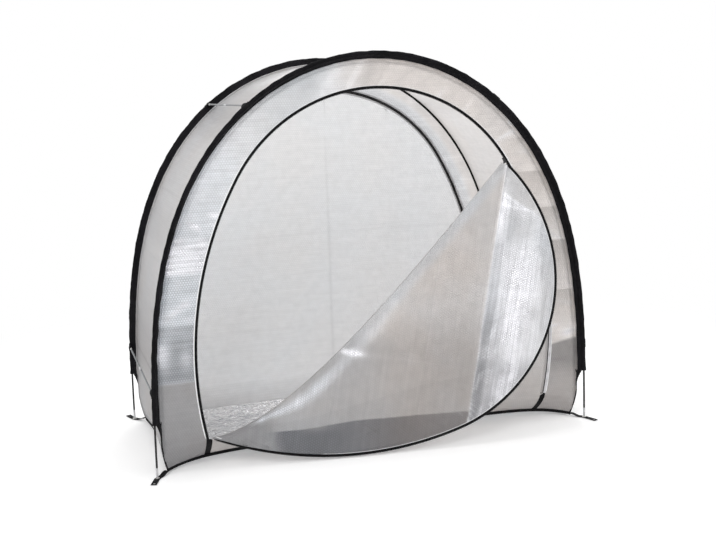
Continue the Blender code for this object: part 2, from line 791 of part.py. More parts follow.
def front_flap():
    """Free half of the front door: ruled from the fold to its zip edge, with one main crease."""
    slider = zip_place(FRONT_SLIDER_ANGLE)
    steps = zip_steps(zip_shift(0.0, ZIP_END_CLEARANCE), zip_shift(slider, -ZIP_END_CLEARANCE))
    rim = [opened(*flat_wall_point(k, -TAPE_EDGE - GAP)) for k in steps]
    start_t, end_t = fold_range()
    rows = len(rim)
    normal = (opened(0, -1, 0) - opened(0, 0, 0)).normalized()
    fold_y = -WALL_OFFSET - 2 * FOLD_STANDOFF
    shares = [(c / (FLAP_COLUMNS - 1)) for c in range(FLAP_COLUMNS)]

    def place(i, side):
        row, column = divmod(i, FLAP_COLUMNS)
        t = start_t + (end_t - start_t) * row / (rows - 1)
        x, z = fold_curve(t)
        hung = Vector((x, fold_y, z)).lerp(rim[row], shares[column])
        window = (4 * shares[column] * (1 - shares[column])) ** 2
        hung.y -= window * crease(hung.x, hung.z)
        return tuple(hung + normal * side * FILM)

    body = thicken(rows * FLAP_COLUMNS, grid_faces(rows, FLAP_COLUMNS), place)
    return add_object("front_flap", *body, bubble_film(), 60)


def flat_wall_point(place, outward, y_shift=0.0):
    x, z = on_zip(place, outward)
    return x, -WALL_OFFSET + y_shift, z


# Zip tapes, end tabs, sliders and pulls

def tape_points(start, end, near, far):
    steps = zip_steps(start, end)
    points = []
    for k in steps:
        points.append(tuple(on_zip(k, near)))
        points.append(tuple(on_zip(k, far)))
    return points, grid_faces(len(steps), 2)


def frame_tape(side, facing):
    """Tape on the wall's side of the teeth; below the zip's ends it widens and runs to the hem."""
    points, faces = tape_points(0.0, float(ZIP_LAST), ZIP_SLOT / 2, TAPE_EDGE)
    for hand, near, far in ((-1, 0, 1), (1, len(points) - 2, len(points) - 1)):
        centre = zip_foot(hand, 0.0)[0]
        base = len(points)
        across = [centre + hand * w for w in (-TAPE_EDGE, ZIP_SLOT / 2, TAPE_EDGE)]
        points += [(x, hem_z(x) + GAP) for x in across]
        points += [(x, z) for z in ((hem_z(centre) + DOOR_SILL) / 2, DOOR_SILL - ZIP_DROP) for x in across]
        faces += [[base + i for i in face] for face in grid_faces(3, 3)]
        faces.append([base + 7, base + 8, far, near])
    return add_wall_sheet(f"{side}_zip_frame_tape", points, oriented(points, faces), TAPE_THICKNESS,
                          facing, black_fabric())


def oriented(points, faces):
    """The faces, all running the same way round in the wall."""
    turned_faces = []
    for face in faces:
        ring = [points[i] for i in face]
        area = sum(a[0] * b[1] - b[0] * a[1] for a, b in zip(ring, ring[1:] + ring[:1]))
        turned_faces.append(list(face) if area > 0 else list(reversed(face)))
    return turned_faces


def door_tape(side, start, facing):
    """Tape on the door's side of the teeth, from a station number to the zip's right end."""
    points, faces = tape_points(start, float(ZIP_LAST), -ZIP_SLOT / 2, -TAPE_EDGE)
    return add_wall_sheet(f"{side}_zip_door_tape", points, faces, TAPE_THICKNESS, facing, black_fabric())


def flap_tape():
    """The same tape along the free half's edge; it swings with the flap."""
    points, faces = tape_points(zip_shift(0.0, ZIP_END_CLEARANCE),
                                zip_shift(zip_place(FRONT_SLIDER_ANGLE), -ZIP_END_CLEARANCE),
                                -ZIP_SLOT / 2, -TAPE_EDGE)

    def place(i, side):
        x, z = points[i]
        return tuple(opened(x, -WALL_OFFSET + side * TAPE_THICKNESS, z))

    body = thicken(len(points), faces, place)
    return add_object("front_flap_tape", *body, black_fabric())


def slider(side, facing, angle):
    """Zip slider: two plates joined by a web in the slot, with ears and a pin for its pull."""
    x, z = on_zip(zip_place(angle))
    middle_y = facing * WALL_OFFSET
    inner = TAPE_THICKNESS / 2 + SLIDING_GAP
    outer = inner + SLIDER_PLATE
    half, web, run = SLIDER_WIDTH / 2, SLIDER_WEB / 2, SLIDER_LENGTH / 2
    section = [(-half, -outer), (half, -outer), (half, -inner), (web, -inner), (web, inner), (half, inner),
               (half, outer), (-half, outer), (-half, inner), (-web, inner), (-web, -inner), (-half, -inner)]
    a = math.radians(angle)
    across, along = (math.sin(a), math.cos(a)), (math.cos(a), -math.sin(a))

    def ring(distance):
        return [(x + u * across[0] + distance * along[0], middle_y + y,
                 z + u * across[1] + distance * along[1]) for u, y in section]

    body = add_object(f"{side}_zip_slider", *loft([ring(-run), ring(run)]), black_metal())
    ear_top = PIN_HEIGHT + PIN_RADIUS + 0.0006
    for hand in (-1, 1):
        near, far = sorted((hand * EAR_GAP / 2, hand * (EAR_GAP / 2 + EAR_THICKNESS)))
        low = (x + near, middle_y + outer - SLIDER_PLATE / 2, z - EAR_LENGTH / 2)
        high = (x + far, middle_y + ear_top, z + EAR_LENGTH / 2)
        join_with(body, add_object(f"{side}_ear_{hand + 1}", *box(low, high), black_metal()))
    reach = EAR_GAP / 2 + EAR_THICKNESS / 2
    pin = turned([(PIN_RADIUS, -reach), (PIN_RADIUS, reach)], ROUND_SIDES,
                 lambda u, v, h: (x + h, middle_y + PIN_HEIGHT + u, z + v))
    join_with(body, add_object(f"{side}_pull_pin", *pin, black_metal()))
    return body, (x, middle_y + PIN_HEIGHT, z)


def pull(side, pin_point):
    """Pull tab: a knuckle round the slider's pin and a flat tongue that hangs from it."""
    x, y, z = pin_point
    half = PULL_WIDTH / 2
    bore = (PIN_RADIUS + SLIDING_GAP) / math.cos(math.pi / ROUND_SIDES)
    section = [(bore, -half), (KNUCKLE_RADIUS, -half), (KNUCKLE_RADIUS, half), (bore, half)]
    knuckle = turned_ring(section, ROUND_SIDES, lambda u, v, h: (x + h, y + u, z + v))
    body = add_object(f"{side}_zip_pull", *knuckle, black_metal(), 40)
    top = -(bore + KNUCKLE_RADIUS) / 2
    round_end = [(half * math.cos(a), -PULL_LENGTH - half * math.sin(a))
                 for a in np.linspace(0.0, math.pi, 7)]
    outline = [(half * 0.9, top), *round_end, (-half * 0.9, top)]
    rings = [[(x + u, y + d, z + v) for u, v in outline] for d in (-PULL_THICKNESS / 2, PULL_THICKNESS / 2)]
    join_with(body, add_object(f"{side}_pull_tongue", *loft(rings), black_metal()))
    return body


# Hem bindings and floor sheet

def end_hem_points():
    """(x, z) along an end wall's lower edge, at the points that the film above it has."""
    x, z = cover_edge(cover_cuts()[0], FILM + GAP)
    grid = sill_grid(13)[0][:13]
    left_inner = zip_foot(-1, TAPE_EDGE + GAP)[0]
    right_inner = zip_foot(1, TAPE_EDGE + GAP)[0]
    return [(x, z), (left_inner, hem_z(left_inner)), *grid, (right_inner, hem_z(right_inner)), (-x, z)]


def hem_bar(points, inward):
    """Binding under a film edge: points run along the edge, inward holds the unit normals."""
    rings = []
    half = HEM_THICKNESS / 2
    for (x, y, z), (nx, ny) in zip(points, inward):
        top, low = z - GAP, z - GAP - HEM_DEPTH
        rings.append([(x - nx * half, y - ny * half, top), (x + nx * half, y + ny * half, top),
                      (x + nx * half, y + ny * half, low), (x - nx * half, y - ny * half, low)])
    return loft(rings)


def side_hem_points():
    """The left side's hem, front to back, on the film's middle surface."""
    s = cover_cuts()[0]
    edge = WALL_OFFSET + FILM / 2 - CORNER_TUCK
    points = []
    for v, hollow in depth_shares():
        depth = FILM / 2 + hollow * (ROOF_SAG * HEM_HEIGHT / ARCH_HEIGHT + SIDE_BOW)
        x, z = cover_edge(s, depth)
        points.append((x, edge * (2 * v - 1), z))
    return points


def hems():
    end = []
    for x, z in end_hem_points():
        clear = math.copysign(min(abs(x), corner_x() - FILM - GAP - HEM_THICKNESS / 2 + FILM / 2), x)
        end.append((clear, WALL_OFFSET - wall_inset(x, z), z))
    add_object("hem_front", *hem_bar([(x, -y, z) for x, y, z in end], [(0, 1)] * len(end)), black_fabric())
    add_object("hem_back", *hem_bar(end, [(0, -1)] * len(end)), black_fabric())
    side = side_hem_points()
    add_object("hem_left", *hem_bar(side, [(1, 0)] * len(side)), black_fabric())
    other = [(-x, y, z) for x, y, z in side]
    add_object("hem_right", *hem_bar(other, [(-1, 0)] * len(other)), black_fabric())


def floor_sheet():
    """Foil floor: flat on the ground, its border turned up to the inside of the hem."""
    clear = HEM_THICKNESS / 2 + GAP
    side = side_hem_points()
    front = [(x, -(WALL_OFFSET - wall_inset(x, z) - clear), z) for x, z in end_hem_points()[1:-1]]
    right = [(-x - clear, y, z) for x, y, z in side[1:-1]]
    back = [(x, -y, z) for x, y, z in reversed(front)]
    left = [(-x, y, z) for x, y, z in reversed(right)]
    rim = front + right + back + left
    count = len(rim)
    points = [(x, y, z - HEM_DEPTH / 2) for x, y, z in rim]
    for x, y, _ in rim:
        shrink_x = 1 - FLOOR_BORDER / corner_x()
        shrink_y = 1 - FLOOR_BORDER / WALL_OFFSET
        points.append((x * shrink_x, y * shrink_y, 0.0))
    faces = [[i, (i + 1) % count, count + (i + 1) % count, count + i] for i in range(count)]
    faces.append(list(range(count, 2 * count)))

    def place(i, side_):
        x, y, z = points[i]
        return (x, y, z + FLOOR_THICKNESS * (side_ + 0.5))

    add_object("floor_sheet", *thicken(len(points), faces, place), silver_foil())


# Corner straps with their eyelets and peg loops

def strap_path(x, y):
    """Middle line of a corner strap: hem corner, down to the eyelet at the pole's foot, tail."""
    hand, end = math.copysign(1, x), math.copysign(1, y)
    edge_x = abs(side_hem_points()[0][0]) + HEM_THICKNESS / 2
    edge_y = WALL_OFFSET + FILM / 2 - CORNER_TUCK
    corner = Vector((hand * edge_x, end * edge_y, 0.0))
    foot = Vector((x, y, 0.0))
    into = (foot - corner).normalized()
    lift = HEM_HEIGHT - HEM_DEPTH / 2
    level = STRAP_LIFT + STRAP_THICKNESS / 2
    tail = math.radians(STRAP_TAIL_ANGLE)
    out = Vector((hand * math.cos(tail), end * math.sin(tail), 0.0))
    flat = EYELET_FLANGE + 0.004
    path = [corner + into * 2 * GAP, corner + into * 0.012, foot - into * (flat + 0.012),
            foot - into * flat, foot + out * flat, foot + out * STRAP_TAIL]
    heights = [lift, lift, level + 0.001, level, level, level]
    heading = [into, into, into, into, out, out]
    return path, heights, heading


def straps():
    for place, x, y in foot_points():
        path, heights, heading = strap_path(x, y)
        half = STRAP_WIDTH / 2
        rings = []
        for point, height, ahead in zip(path, heights, heading):
            cross = Vector((-ahead.y, ahead.x, 0.0)) * half
            low, top = height - STRAP_THICKNESS / 2, height + STRAP_THICKNESS / 2
            a, b = point + cross, point - cross
            rings.append([(a.x, a.y, low), (b.x, b.y, low), (b.x, b.y, top), (a.x, a.y, top)])
        strap = add_object(f"strap_{place}", *loft(rings), black_fabric())
        tail = path[-1] - heading[-1] * PEG_HOLE_INSET
        for label, centre, radius in (("eyelet", Vector((x, y, 0)), EYELET_BARREL + GAP),
                                      ("peg", tail, PEG_HOLE_RADIUS)):
            bore = turned([(radius, -0.01), (radius, 0.02)], TURNED_SIDES,
                          lambda u, v, h, c=centre: (c.x + u, c.y + v, h))
            cut_with(strap, add_object(f"{place}_{label}_hole", *bore, black_fabric()))


def eyelets():
    low = STRAP_LIFT - GAP
    top = STRAP_LIFT + STRAP_THICKNESS + GAP
    section = [(EYELET_BORE, low - EYELET_FLANGE_THICKNESS), (EYELET_FLANGE, low - EYELET_FLANGE_THICKNESS),
               (EYELET_FLANGE, low), (EYELET_BARREL, low), (EYELET_BARREL, top), (EYELET_FLANGE, top),
               (EYELET_FLANGE, top + EYELET_FLANGE_THICKNESS), (EYELET_BORE, top + EYELET_FLANGE_THICKNESS)]
    for place, x, y in foot_points():
        ring = turned_ring(section, TURNED_SIDES, lambda u, v, h, x=x, y=y: (x + u, y + v, h))
        add_object(f"eyelet_{place}", *ring, bright_metal(), 40)


# Assembly

def build_frame():
    for side, plane, toward_middle in (("front", FRONT_PLANE, 1), ("back", BACK_PLANE, -1)):
        pole_sections(side, plane)
        sleeve(side, plane, toward_middle)
    pole_tips()
    struts()
    straps()
    eyelets()


def build_cover():
    tunnel_cover()
    end_wall("front", -1)
    end_wall("back", 1)
    front_door()
    back_door()
    hems()
    floor_sheet()
    for side, facing, start in (("front", -1, FRONT_SLIDER_ANGLE), ("back", 1, None)):
        frame_tape(side, facing)
        first = 0.0 if start is None else zip_shift(zip_place(start), ZIP_END_CLEARANCE)
        door_tape(side, first, facing)


def build_moving():
    point, along = flap_frame()
    flap_axis = add_axis("front_flap_axis", point, along)
    for piece in (front_flap(), flap_tape()):
        hang_on(piece, flap_axis)
    centre_x, centre_z = crown_centre()
    for side, facing, angle in (("front", -1, FRONT_SLIDER_ANGLE), ("back", 1, BACK_SLIDER_ANGLE)):
        body, pin = slider(side, facing, angle)
        tab = pull(side, pin)
        slide_axis = add_axis(f"{side}_slider_axis", (centre_x, facing * WALL_OFFSET, centre_z), (0, -1, 0))
        pull_axis = add_axis(f"{side}_pull_axis", pin, (1, 0, 0))
        for piece, empty in ((body, slide_axis), (tab, pull_axis)):
            for helper in [m.object for m in piece.modifiers]:
                hang_on(helper, empty)
            hang_on(piece, empty)


clear_scene()
build_frame()
build_cover()
build_moving()
bpy.context.view_layer.update()
print("objects", sum(1 for o in bpy.data.objects if o.type == "MESH" and not o.hide_render))
print("lowest point of the open flap", min((o.matrix_world @ v.co).z for o in bpy.data.objects
                                           if o.name.startswith("front_flap") and o.type == "MESH"
                                           for v in o.data.vertices))
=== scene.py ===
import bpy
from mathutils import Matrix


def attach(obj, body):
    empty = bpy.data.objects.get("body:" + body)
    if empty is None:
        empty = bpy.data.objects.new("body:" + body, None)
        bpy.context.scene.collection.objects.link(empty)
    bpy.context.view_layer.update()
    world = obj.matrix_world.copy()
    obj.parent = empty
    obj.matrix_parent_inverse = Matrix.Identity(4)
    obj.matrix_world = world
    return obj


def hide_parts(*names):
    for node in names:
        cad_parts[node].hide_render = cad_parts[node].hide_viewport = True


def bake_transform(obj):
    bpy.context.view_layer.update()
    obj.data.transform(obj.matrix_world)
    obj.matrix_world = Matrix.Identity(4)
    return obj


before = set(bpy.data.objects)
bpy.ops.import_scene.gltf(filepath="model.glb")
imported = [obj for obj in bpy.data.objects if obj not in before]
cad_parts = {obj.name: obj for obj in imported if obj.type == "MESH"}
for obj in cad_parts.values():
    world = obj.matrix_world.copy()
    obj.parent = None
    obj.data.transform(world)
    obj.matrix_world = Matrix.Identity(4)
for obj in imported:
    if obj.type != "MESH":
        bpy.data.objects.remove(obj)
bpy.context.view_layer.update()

# Frost protection tent: bubble film on two bent poles, with woven sleeves, zip doors and a foil floor.
# Metres, +Z up, the front wall faces -Y. Every curve below follows the same poles as the solids.

import math

import bmesh
import bpy
import numpy as np
from mathutils import Matrix, Vector, noise

tent = {
    "height": 1.80, "feet": 2.11, "depth": 0.893, "bend": 1.29,
    "sleeveWidth": 0.040, "sleeveEnd": 0.243, "film": 0.0036,
    "hem": 0.022, "hemRise": 0.028, "hemDepth": 0.016, "hemThickness": 0.005,
    "tuck": 0.022, "wallBow": 0.137, "sideBow": 0.025, "roofSag": 0.014, "seamBand": 0.010,
    "topBorder": 0.156, "sill": 0.142, "doorShift": 0.012,
    "crownRadius": 0.740, "crownHalf": 60.0, "sideRadius": 1.621,
    "zipSlot": 0.003, "tapeWidth": 0.012,
}
diagonal = math.sqrt(0.5)  # the sleeves stand at 45 degrees to the walls
seamInset = tent["sleeveWidth"] * diagonal
wallOffset = tent["depth"] / 2 - seamInset
tapeEdge = tent["zipSlot"] / 2 + tent["tapeWidth"]
doorTop = tent["height"] - tent["topBorder"]
filmEdge = tapeEdge + 0.0003


# Small tools for grids and curves

def gridOf(*values):  # one array of points or colours from its parts
    return np.stack(np.broadcast_arrays(*values), axis=-1)


def evenRow(count):  # even steps from 0 to 1 as a row
    return np.linspace(0.0, 1.0, count)[None, :]


def between(a, b, share):
    return a * (1 - share) + b * share


def summed(values):  # running sum by the trapezoid rule
    return np.concatenate([[0.0], np.cumsum((values[1:] + values[:-1]) / 2)])


def runOf(*lines):  # distance along a curve
    return np.concatenate([[0.0], np.cumsum(np.sqrt(sum(np.diff(line) ** 2 for line in lines)))])


# Curves of the poles, the cover and the zips

def bentPole(turn, samples=1201):  # a curve of unit length whose bend gathers at the crown
    s = np.linspace(0.0, 1.0, samples)
    steps = summed(np.sin(math.pi * s) ** tent["bend"])
    heading = turn / 2 - turn * steps / steps[-1]
    return s, summed(np.cos(heading)) / (samples - 1), summed(np.sin(heading)) / (samples - 1), heading


def fittedPole():
    low, high = 0.6 * math.pi, 1.4 * math.pi
    for _ in range(40):
        turn = (low + high) / 2
        s, x, z, heading = bentPole(turn)
        if x[-1] / z.max() > tent["feet"] / tent["height"]:
            low = turn
        else:
            high = turn
    scale = tent["height"] / z.max()
    return s, (x - x[-1] / 2) * scale, z * scale, heading, scale


poleS, poleX, poleZ, poleHeading, poleLength = fittedPole()


def onPole(s, outward=0.0):
    heading = np.interp(s, poleS, poleHeading)
    x = np.interp(s, poleS, poleX) - outward * np.sin(heading)
    z = np.interp(s, poleS, poleZ) + outward * np.cos(heading)
    return x, z


def poleAt(height):  # where the left leg reaches that height
    half = len(poleS) // 2 + 1
    return float(np.interp(height, poleZ[:half], poleS[:half]))


def skirt(z):  # 0 above the sill, 1 at the hem
    return np.clip((tent["sill"] - z) / (tent["sill"] - tent["hem"]), 0.0, 1.0) ** 1.5


cornerX = abs(float(onPole(poleAt(tent["hem"]), -seamInset - tent["tuck"])[0]))


def slack(x):
    return 1.0 - np.minimum(np.abs(x) / cornerX, 1.0) ** 6


def wallInset(x, z):
    return skirt(z) * (tent["tuck"] + tent["wallBow"] * slack(x))


def hemLine(x):
    return tent["hem"] + tent["hemRise"] * slack(x)


def coverEdge(s, depth):
    z = onPole(s)[1]
    return onPole(s, -seamInset - depth - tent["tuck"] * skirt(z))


def zipOutline():  # from the left end over the crown to the right end
    half = math.radians(tent["crownHalf"])
    radius, wide = tent["crownRadius"], tent["sideRadius"]
    crownZ = doorTop - radius
    sideX, sideZ = -(wide - radius) * math.sin(half), crownZ - (wide - radius) * math.cos(half)
    foot = math.acos((tent["sill"] - sideZ) / wide)
    crown, side = np.linspace(0.0, half, 301), np.linspace(half, foot, 301)[1:]
    angle = np.concatenate([crown, side])
    x = np.concatenate([radius * np.sin(crown), sideX + wide * np.sin(side)])
    z = np.concatenate([crownZ + radius * np.cos(crown), sideZ + wide * np.cos(side)])
    x, z = np.concatenate([-x[:0:-1], x]) + tent["doorShift"], np.concatenate([z[:0:-1], z])
    angle = np.concatenate([-angle[:0:-1], angle])
    return runOf(x, z), x, z, angle, foot


zipRun, zipX, zipZ, zipAngle, zipFootAngle = zipOutline()
zipLength = float(zipRun[-1])


def onZip(run, outward=0.0):
    angle = np.interp(run, zipRun, zipAngle)
    x = np.interp(run, zipRun, zipX) + outward * np.sin(angle)
    z = np.interp(run, zipRun, zipZ) + outward * np.cos(angle)
    return x, z


def zipRunAt(degrees):
    return float(np.interp(math.radians(degrees), zipAngle, zipRun))


def zipFoot(hand, outward=0.0):
    return (zipX[0] if hand < 0 else zipX[-1]) + hand * outward


def wallPoint(x, z, facing, lift=0.0):  # a point of an end wall, lifted outwards from its middle
    return gridOf(x, facing * (wallOffset - wallInset(x, z) + lift), z)


# The fold of the front door and its open half

fold = {
    "slider": 57.8, "tilt": 12.5, "lowHandle": 0.29, "highHandle": 1.06, "highAngle": 46.9,
    "standoff": 0.0023, "clearance": 0.021, "sideStations": 8, "crownStep": 3.0,
    "creaseDepth": 0.016, "creaseWidth": 0.060, "creaseX": 0.560, "creaseZ": 0.720, "creaseLean": 0.10,
}
sliderRun = zipRunAt(fold["slider"])
foldLow = np.array(onZip(0.0))
foldHigh = np.array(onZip(sliderRun))


def foldCurve(t):
    climb = math.radians(fold["highAngle"])
    first = foldLow + np.array([fold["lowHandle"], 0.0])
    second = foldHigh - fold["highHandle"] * np.array([math.cos(climb), math.sin(climb)])
    t = np.asarray(t, float)[..., None]
    return ((1 - t) ** 3 * foldLow + 3 * (1 - t) ** 2 * t * first
            + 3 * (1 - t) * t ** 2 * second + t ** 3 * foldHigh)


def foldSpan():
    t = np.linspace(0.0, 1.0, 801)
    curve = foldCurve(t)
    start = t[np.argmax(curve[:, 0] > foldLow[0] + filmEdge)]
    end = t[np.argmax(np.linalg.norm(curve - foldHigh, axis=1) < fold["clearance"])]
    return float(start), float(end)


hingePoint = Vector((foldLow[0], -wallOffset - fold["standoff"], foldLow[1]))
hingeLine = Vector((foldLow[0] - foldHigh[0], 0.0, foldLow[1] - foldHigh[1])).normalized()
openTurn = np.array(Matrix.Rotation(-math.radians(180.0 - fold["tilt"]), 3, hingeLine))


def opened(points):  # where the closed flap's points lie while it is open
    return (points - np.array(hingePoint)) @ openTurn.T + np.array(hingePoint)


def closed(points):  # and back
    return (points - np.array(hingePoint)) @ openTurn + np.array(hingePoint)


# Meshes

def recalculated(mesh):
    work = bmesh.new()
    work.from_mesh(mesh)
    bmesh.ops.recalc_face_normals(work, faces=work.faces)
    work.to_mesh(mesh)
    work.free()


def addMesh(name, verts, faces, surface, flat=None, finishAndPaintedLight=None, sharp=50.0):
    mesh = bpy.data.meshes.new(name)
    mesh.from_pydata(np.asarray(verts, float).tolist(), [], faces)
    recalculated(mesh)
    if flat is not None:
        corner = np.empty(len(mesh.loops), np.int32)
        mesh.loops.foreach_get("vertex_index", corner)
        layer = mesh.uv_layers.new(name="flat")
        layer.data.foreach_set("uv", np.asarray(flat, np.float32)[corner].ravel())
    # the colour layer holds each point's painted sheen, tint and painted shade
    if finishAndPaintedLight is not None:
        layer = mesh.color_attributes.new(name="finishAndPaintedLight", type="FLOAT_COLOR", domain="POINT")
        rgba = np.concatenate([finishAndPaintedLight, np.ones((len(finishAndPaintedLight), 1))], axis=1).astype(np.float32)
        layer.data.foreach_set("color", rgba.ravel())
    mesh.shade_smooth()
    mesh.set_sharp_from_angle(angle=math.radians(sharp))
    mesh.materials.append(surface)
    made = bpy.data.objects.new(name, mesh)
    bpy.context.scene.collection.objects.link(made)
    return made


def gridNormals(grid):
    across = np.gradient(grid, axis=1)
    along = np.gradient(grid, axis=0)
    normal = np.cross(along, across)
    size = np.linalg.norm(normal, axis=2, keepdims=True)
    mean = normal.reshape(-1, 3).sum(axis=0)
    mean = mean / max(np.linalg.norm(mean), 1e-12)
    return np.where(size > 1e-12, normal / np.maximum(size, 1e-12), mean)


def gridQuads(rows, columns):
    first = (np.arange(rows - 1)[:, None] * columns + np.arange(columns - 1)[None, :]).ravel()
    return np.stack([first, first + 1, first + columns + 1, first + columns], axis=1)


def rimQuads(rows, columns):  # the closed edge between the two faces of a sheet
    top = np.arange(columns)
    right = np.arange(1, rows) * columns + columns - 1
    bottom = (rows - 1) * columns + np.arange(columns - 2, -1, -1)
    left = np.arange(rows - 2, 0, -1) * columns
    loop = np.concatenate([top, right, bottom, left])
    ahead = np.roll(loop, -1)
    shift = rows * columns
    return np.stack([ahead, loop, shift + loop, shift + ahead], axis=1)


def addSheet(name, grid, thickness, surface, flat=None, finishAndPaintedLight=None):
    rows, columns = grid.shape[:2]
    normal = gridNormals(grid)
    verts = np.concatenate([(grid + normal * thickness / 2).reshape(-1, 3),
                            (grid - normal * thickness / 2).reshape(-1, 3)])
    quads = gridQuads(rows, columns)
    faces = np.concatenate([quads, quads[:, ::-1] + rows * columns, rimQuads(rows, columns)]).tolist()
    both = None if flat is None else np.tile(np.reshape(flat, (-1, 2)), (2, 1))
    if finishAndPaintedLight is not None:  # one set of tint, painted sheen and painted shade for both faces, or a pair
        pair = finishAndPaintedLight if isinstance(finishAndPaintedLight, tuple) else (finishAndPaintedLight, finishAndPaintedLight)
        finishAndPaintedLight = np.concatenate([np.reshape(one, (-1, 3)) for one in pair])
    return addMesh(name, verts, faces, surface, both, finishAndPaintedLight)


def loftQuads(rows, count, start=0):
    r, i = np.meshgrid(np.arange(rows - 1), np.arange(count), indexing="ij")
    j = (i + 1) % count
    quads = np.stack([r * count + i, r * count + j, (r + 1) * count + j, (r + 1) * count + i], axis=-1)
    return (quads.reshape(-1, 4) + start).tolist()


def barOf(rings):  # closed bar through rings of equal length
    rows, count = rings.shape[:2]
    faces = loftQuads(rows, count)
    faces.append(list(range(count)))
    faces.append(list(range((rows - 1) * count, rows * count)))
    return rings.reshape(-1, 3), faces


def shellOf(outer, inner):  # open tube with a wall
    rows, count = outer.shape[:2]
    shift = rows * count
    faces = loftQuads(rows, count) + [f[::-1] for f in loftQuads(rows, count, shift)]
    for base in (0, (rows - 1) * count):
        for i in range(count):
            j = (i + 1) % count
            faces.append([base + i, base + j, shift + base + j, shift + base + i])
    return np.concatenate([outer.reshape(-1, 3), inner.reshape(-1, 3)]), faces


def addCord(name, path, side, up, radius, surface, sides=8):
    turn = np.linspace(0.0, 2 * math.pi, sides, endpoint=False)[None, :, None]
    ring = np.cos(turn) * side[:, None, :] + np.sin(turn) * up[:, None, :]
    verts, faces = barOf(path[:, None, :] + radius[:, None, None] * ring)
    flat = gridOf(runOf(*path.T)[:, None], 2 * math.pi * np.max(radius) * evenRow(sides))
    return addMesh(name, verts, faces, surface, flat.reshape(-1, 2))


def blocksOf(centre, along, out, up, size, taper=0.72):  # many small tapered blocks, such as zip teeth
    a, b, c = np.asarray(size) / 2
    corners = [(i, j, k) for k in (-1, 1) for i, j in ((-1, -1), (1, -1), (1, 1), (-1, 1))]
    verts = []
    for i, j, k in corners:
        narrow = taper if k > 0 else 1.0
        verts.append(centre + along * (i * a * narrow) + out * (j * b) + up * (k * c))
    verts = np.stack(verts, axis=1).reshape(-1, 3)
    face = np.array([(3, 2, 1, 0), (4, 5, 6, 7), (0, 1, 5, 4), (1, 2, 6, 5), (2, 3, 7, 6), (3, 0, 4, 7)])
    faces = (np.arange(len(centre))[:, None, None] * 8 + face[None]).reshape(-1, 4).tolist()
    return verts, faces


# Relief: soft waves, sharp creases and puckers, all from seeded numbers

def ripple(a, b, seed, length, count=7):
    pick = np.random.default_rng(seed)
    total = 0.0
    for _ in range(count):
        turn, size, phase = pick.uniform(0, math.pi), length * pick.uniform(0.6, 1.7), pick.uniform(0, 6.28)
        total = total + np.sin((a * math.cos(turn) + b * math.sin(turn)) * 6.2832 / size + phase)
    return total / math.sqrt(count)


def creases(a, b, seed, count, width, reach, lean=None):  # short sharp folds at seeded places
    pick = np.random.default_rng(seed)
    total = np.zeros(np.broadcast(a, b).shape)
    lowA, highA, lowB, highB = np.min(a), np.max(a), np.min(b), np.max(b)
    for _ in range(count):
        ca, cb = pick.uniform(lowA, highA), pick.uniform(lowB, highB)
        turn = pick.uniform(0, math.pi) if lean is None else pick.normal(*lean)
        far, sign = reach * pick.uniform(0.4, 1.3), pick.choice([-1.0, 1.0])
        u = (a - ca) * math.cos(turn) + (b - cb) * math.sin(turn)
        v = -(a - ca) * math.sin(turn) + (b - cb) * math.cos(turn)
        total = total + sign * np.exp(-np.abs(v) / width) * np.exp(-(u / far) ** 4)
    return total


def foldLines(value, lines, width):  # straight packing folds at given heights
    return sum(sign * np.exp(-np.abs(value - at) / width) for at, sign in lines)


def arch(v, power=1.0):  # 0 at both edges, 1 in the middle
    return (4 * v * (1 - v)) ** power


def smooth(value, low, high):
    part = np.clip((value - low) / (high - low), 0.0, 1.0)
    return part * part * (3 - 2 * part)


def spot(a, b, centre, reach, lean=0.0):  # soft patch
    turn = math.radians(lean)
    u = (a - centre[0]) * math.cos(turn) + (b - centre[1]) * math.sin(turn)
    v = (b - centre[1]) * math.cos(turn) - (a - centre[0]) * math.sin(turn)
    return np.exp(-(u / reach[0]) ** 2 - (v / reach[1]) ** 2)


def band(value, low, high, soft=0.006):  # 1 between two values
    return smooth(value, low - soft, low + soft) * (1 - smooth(value, high - soft, high + soft))


def spots(a, b, rows):  # a row: weight, centre, reach and, where it leans, an angle
    return sum(weight * spot(a, b, *rest) for weight, *rest in rows)


def bands(value, rows):  # a row: weight, low, high and softness
    return sum(weight * band(value, *rest) for weight, *rest in rows)


def sheenTintShadeOf(paintedSheen, warmth, shade):  # painted sheen, tint and painted shade that bubbleFilm reads at each point
    return np.clip(gridOf(paintedSheen, warmth, shade), 0.0, 1.0)


def crumple(points, size, seed):  # broken facets of crushed foil
    shift = Vector((seed * 3.1, seed * 1.7, seed * 0.9))
    flat = []
    for p in np.reshape(points, (-1, 3)):
        near = noise.voronoi(Vector(p) / size + shift)[0]
        flat.append(near[1] - near[0])
    return np.array(flat).reshape(points.shape[:-1])


# Shader helpers

def put(socket, value):
    if isinstance(value, bpy.types.NodeSocket):
        socket.id_data.links.new(value, socket)
    else:
        socket.default_value = value


def fill(node, values):  # links or sets several inputs of a node
    for label, value in values.items():
        put(node.inputs[label], value)
    return node


def newNode(tree, kind, values):
    return fill(tree.nodes.new("ShaderNode" + kind), values)


def treeOf(*values):  # the tree that the sockets among them belong to
    return next(value.id_data for value in values if isinstance(value, bpy.types.NodeSocket))


def mathOf(kind, a, b=0.0, clamp=False):
    node = newNode(treeOf(a, b), "Math", {0: a, 1: b, 2: 0.0})
    node.operation, node.use_clamp = kind, clamp
    return node.outputs[0]


def plus(a, b):
    return mathOf("ADD", a, b)


def minus(a, b):
    return mathOf("SUBTRACT", a, b)


def times(a, b):
    return mathOf("MULTIPLY", a, b)


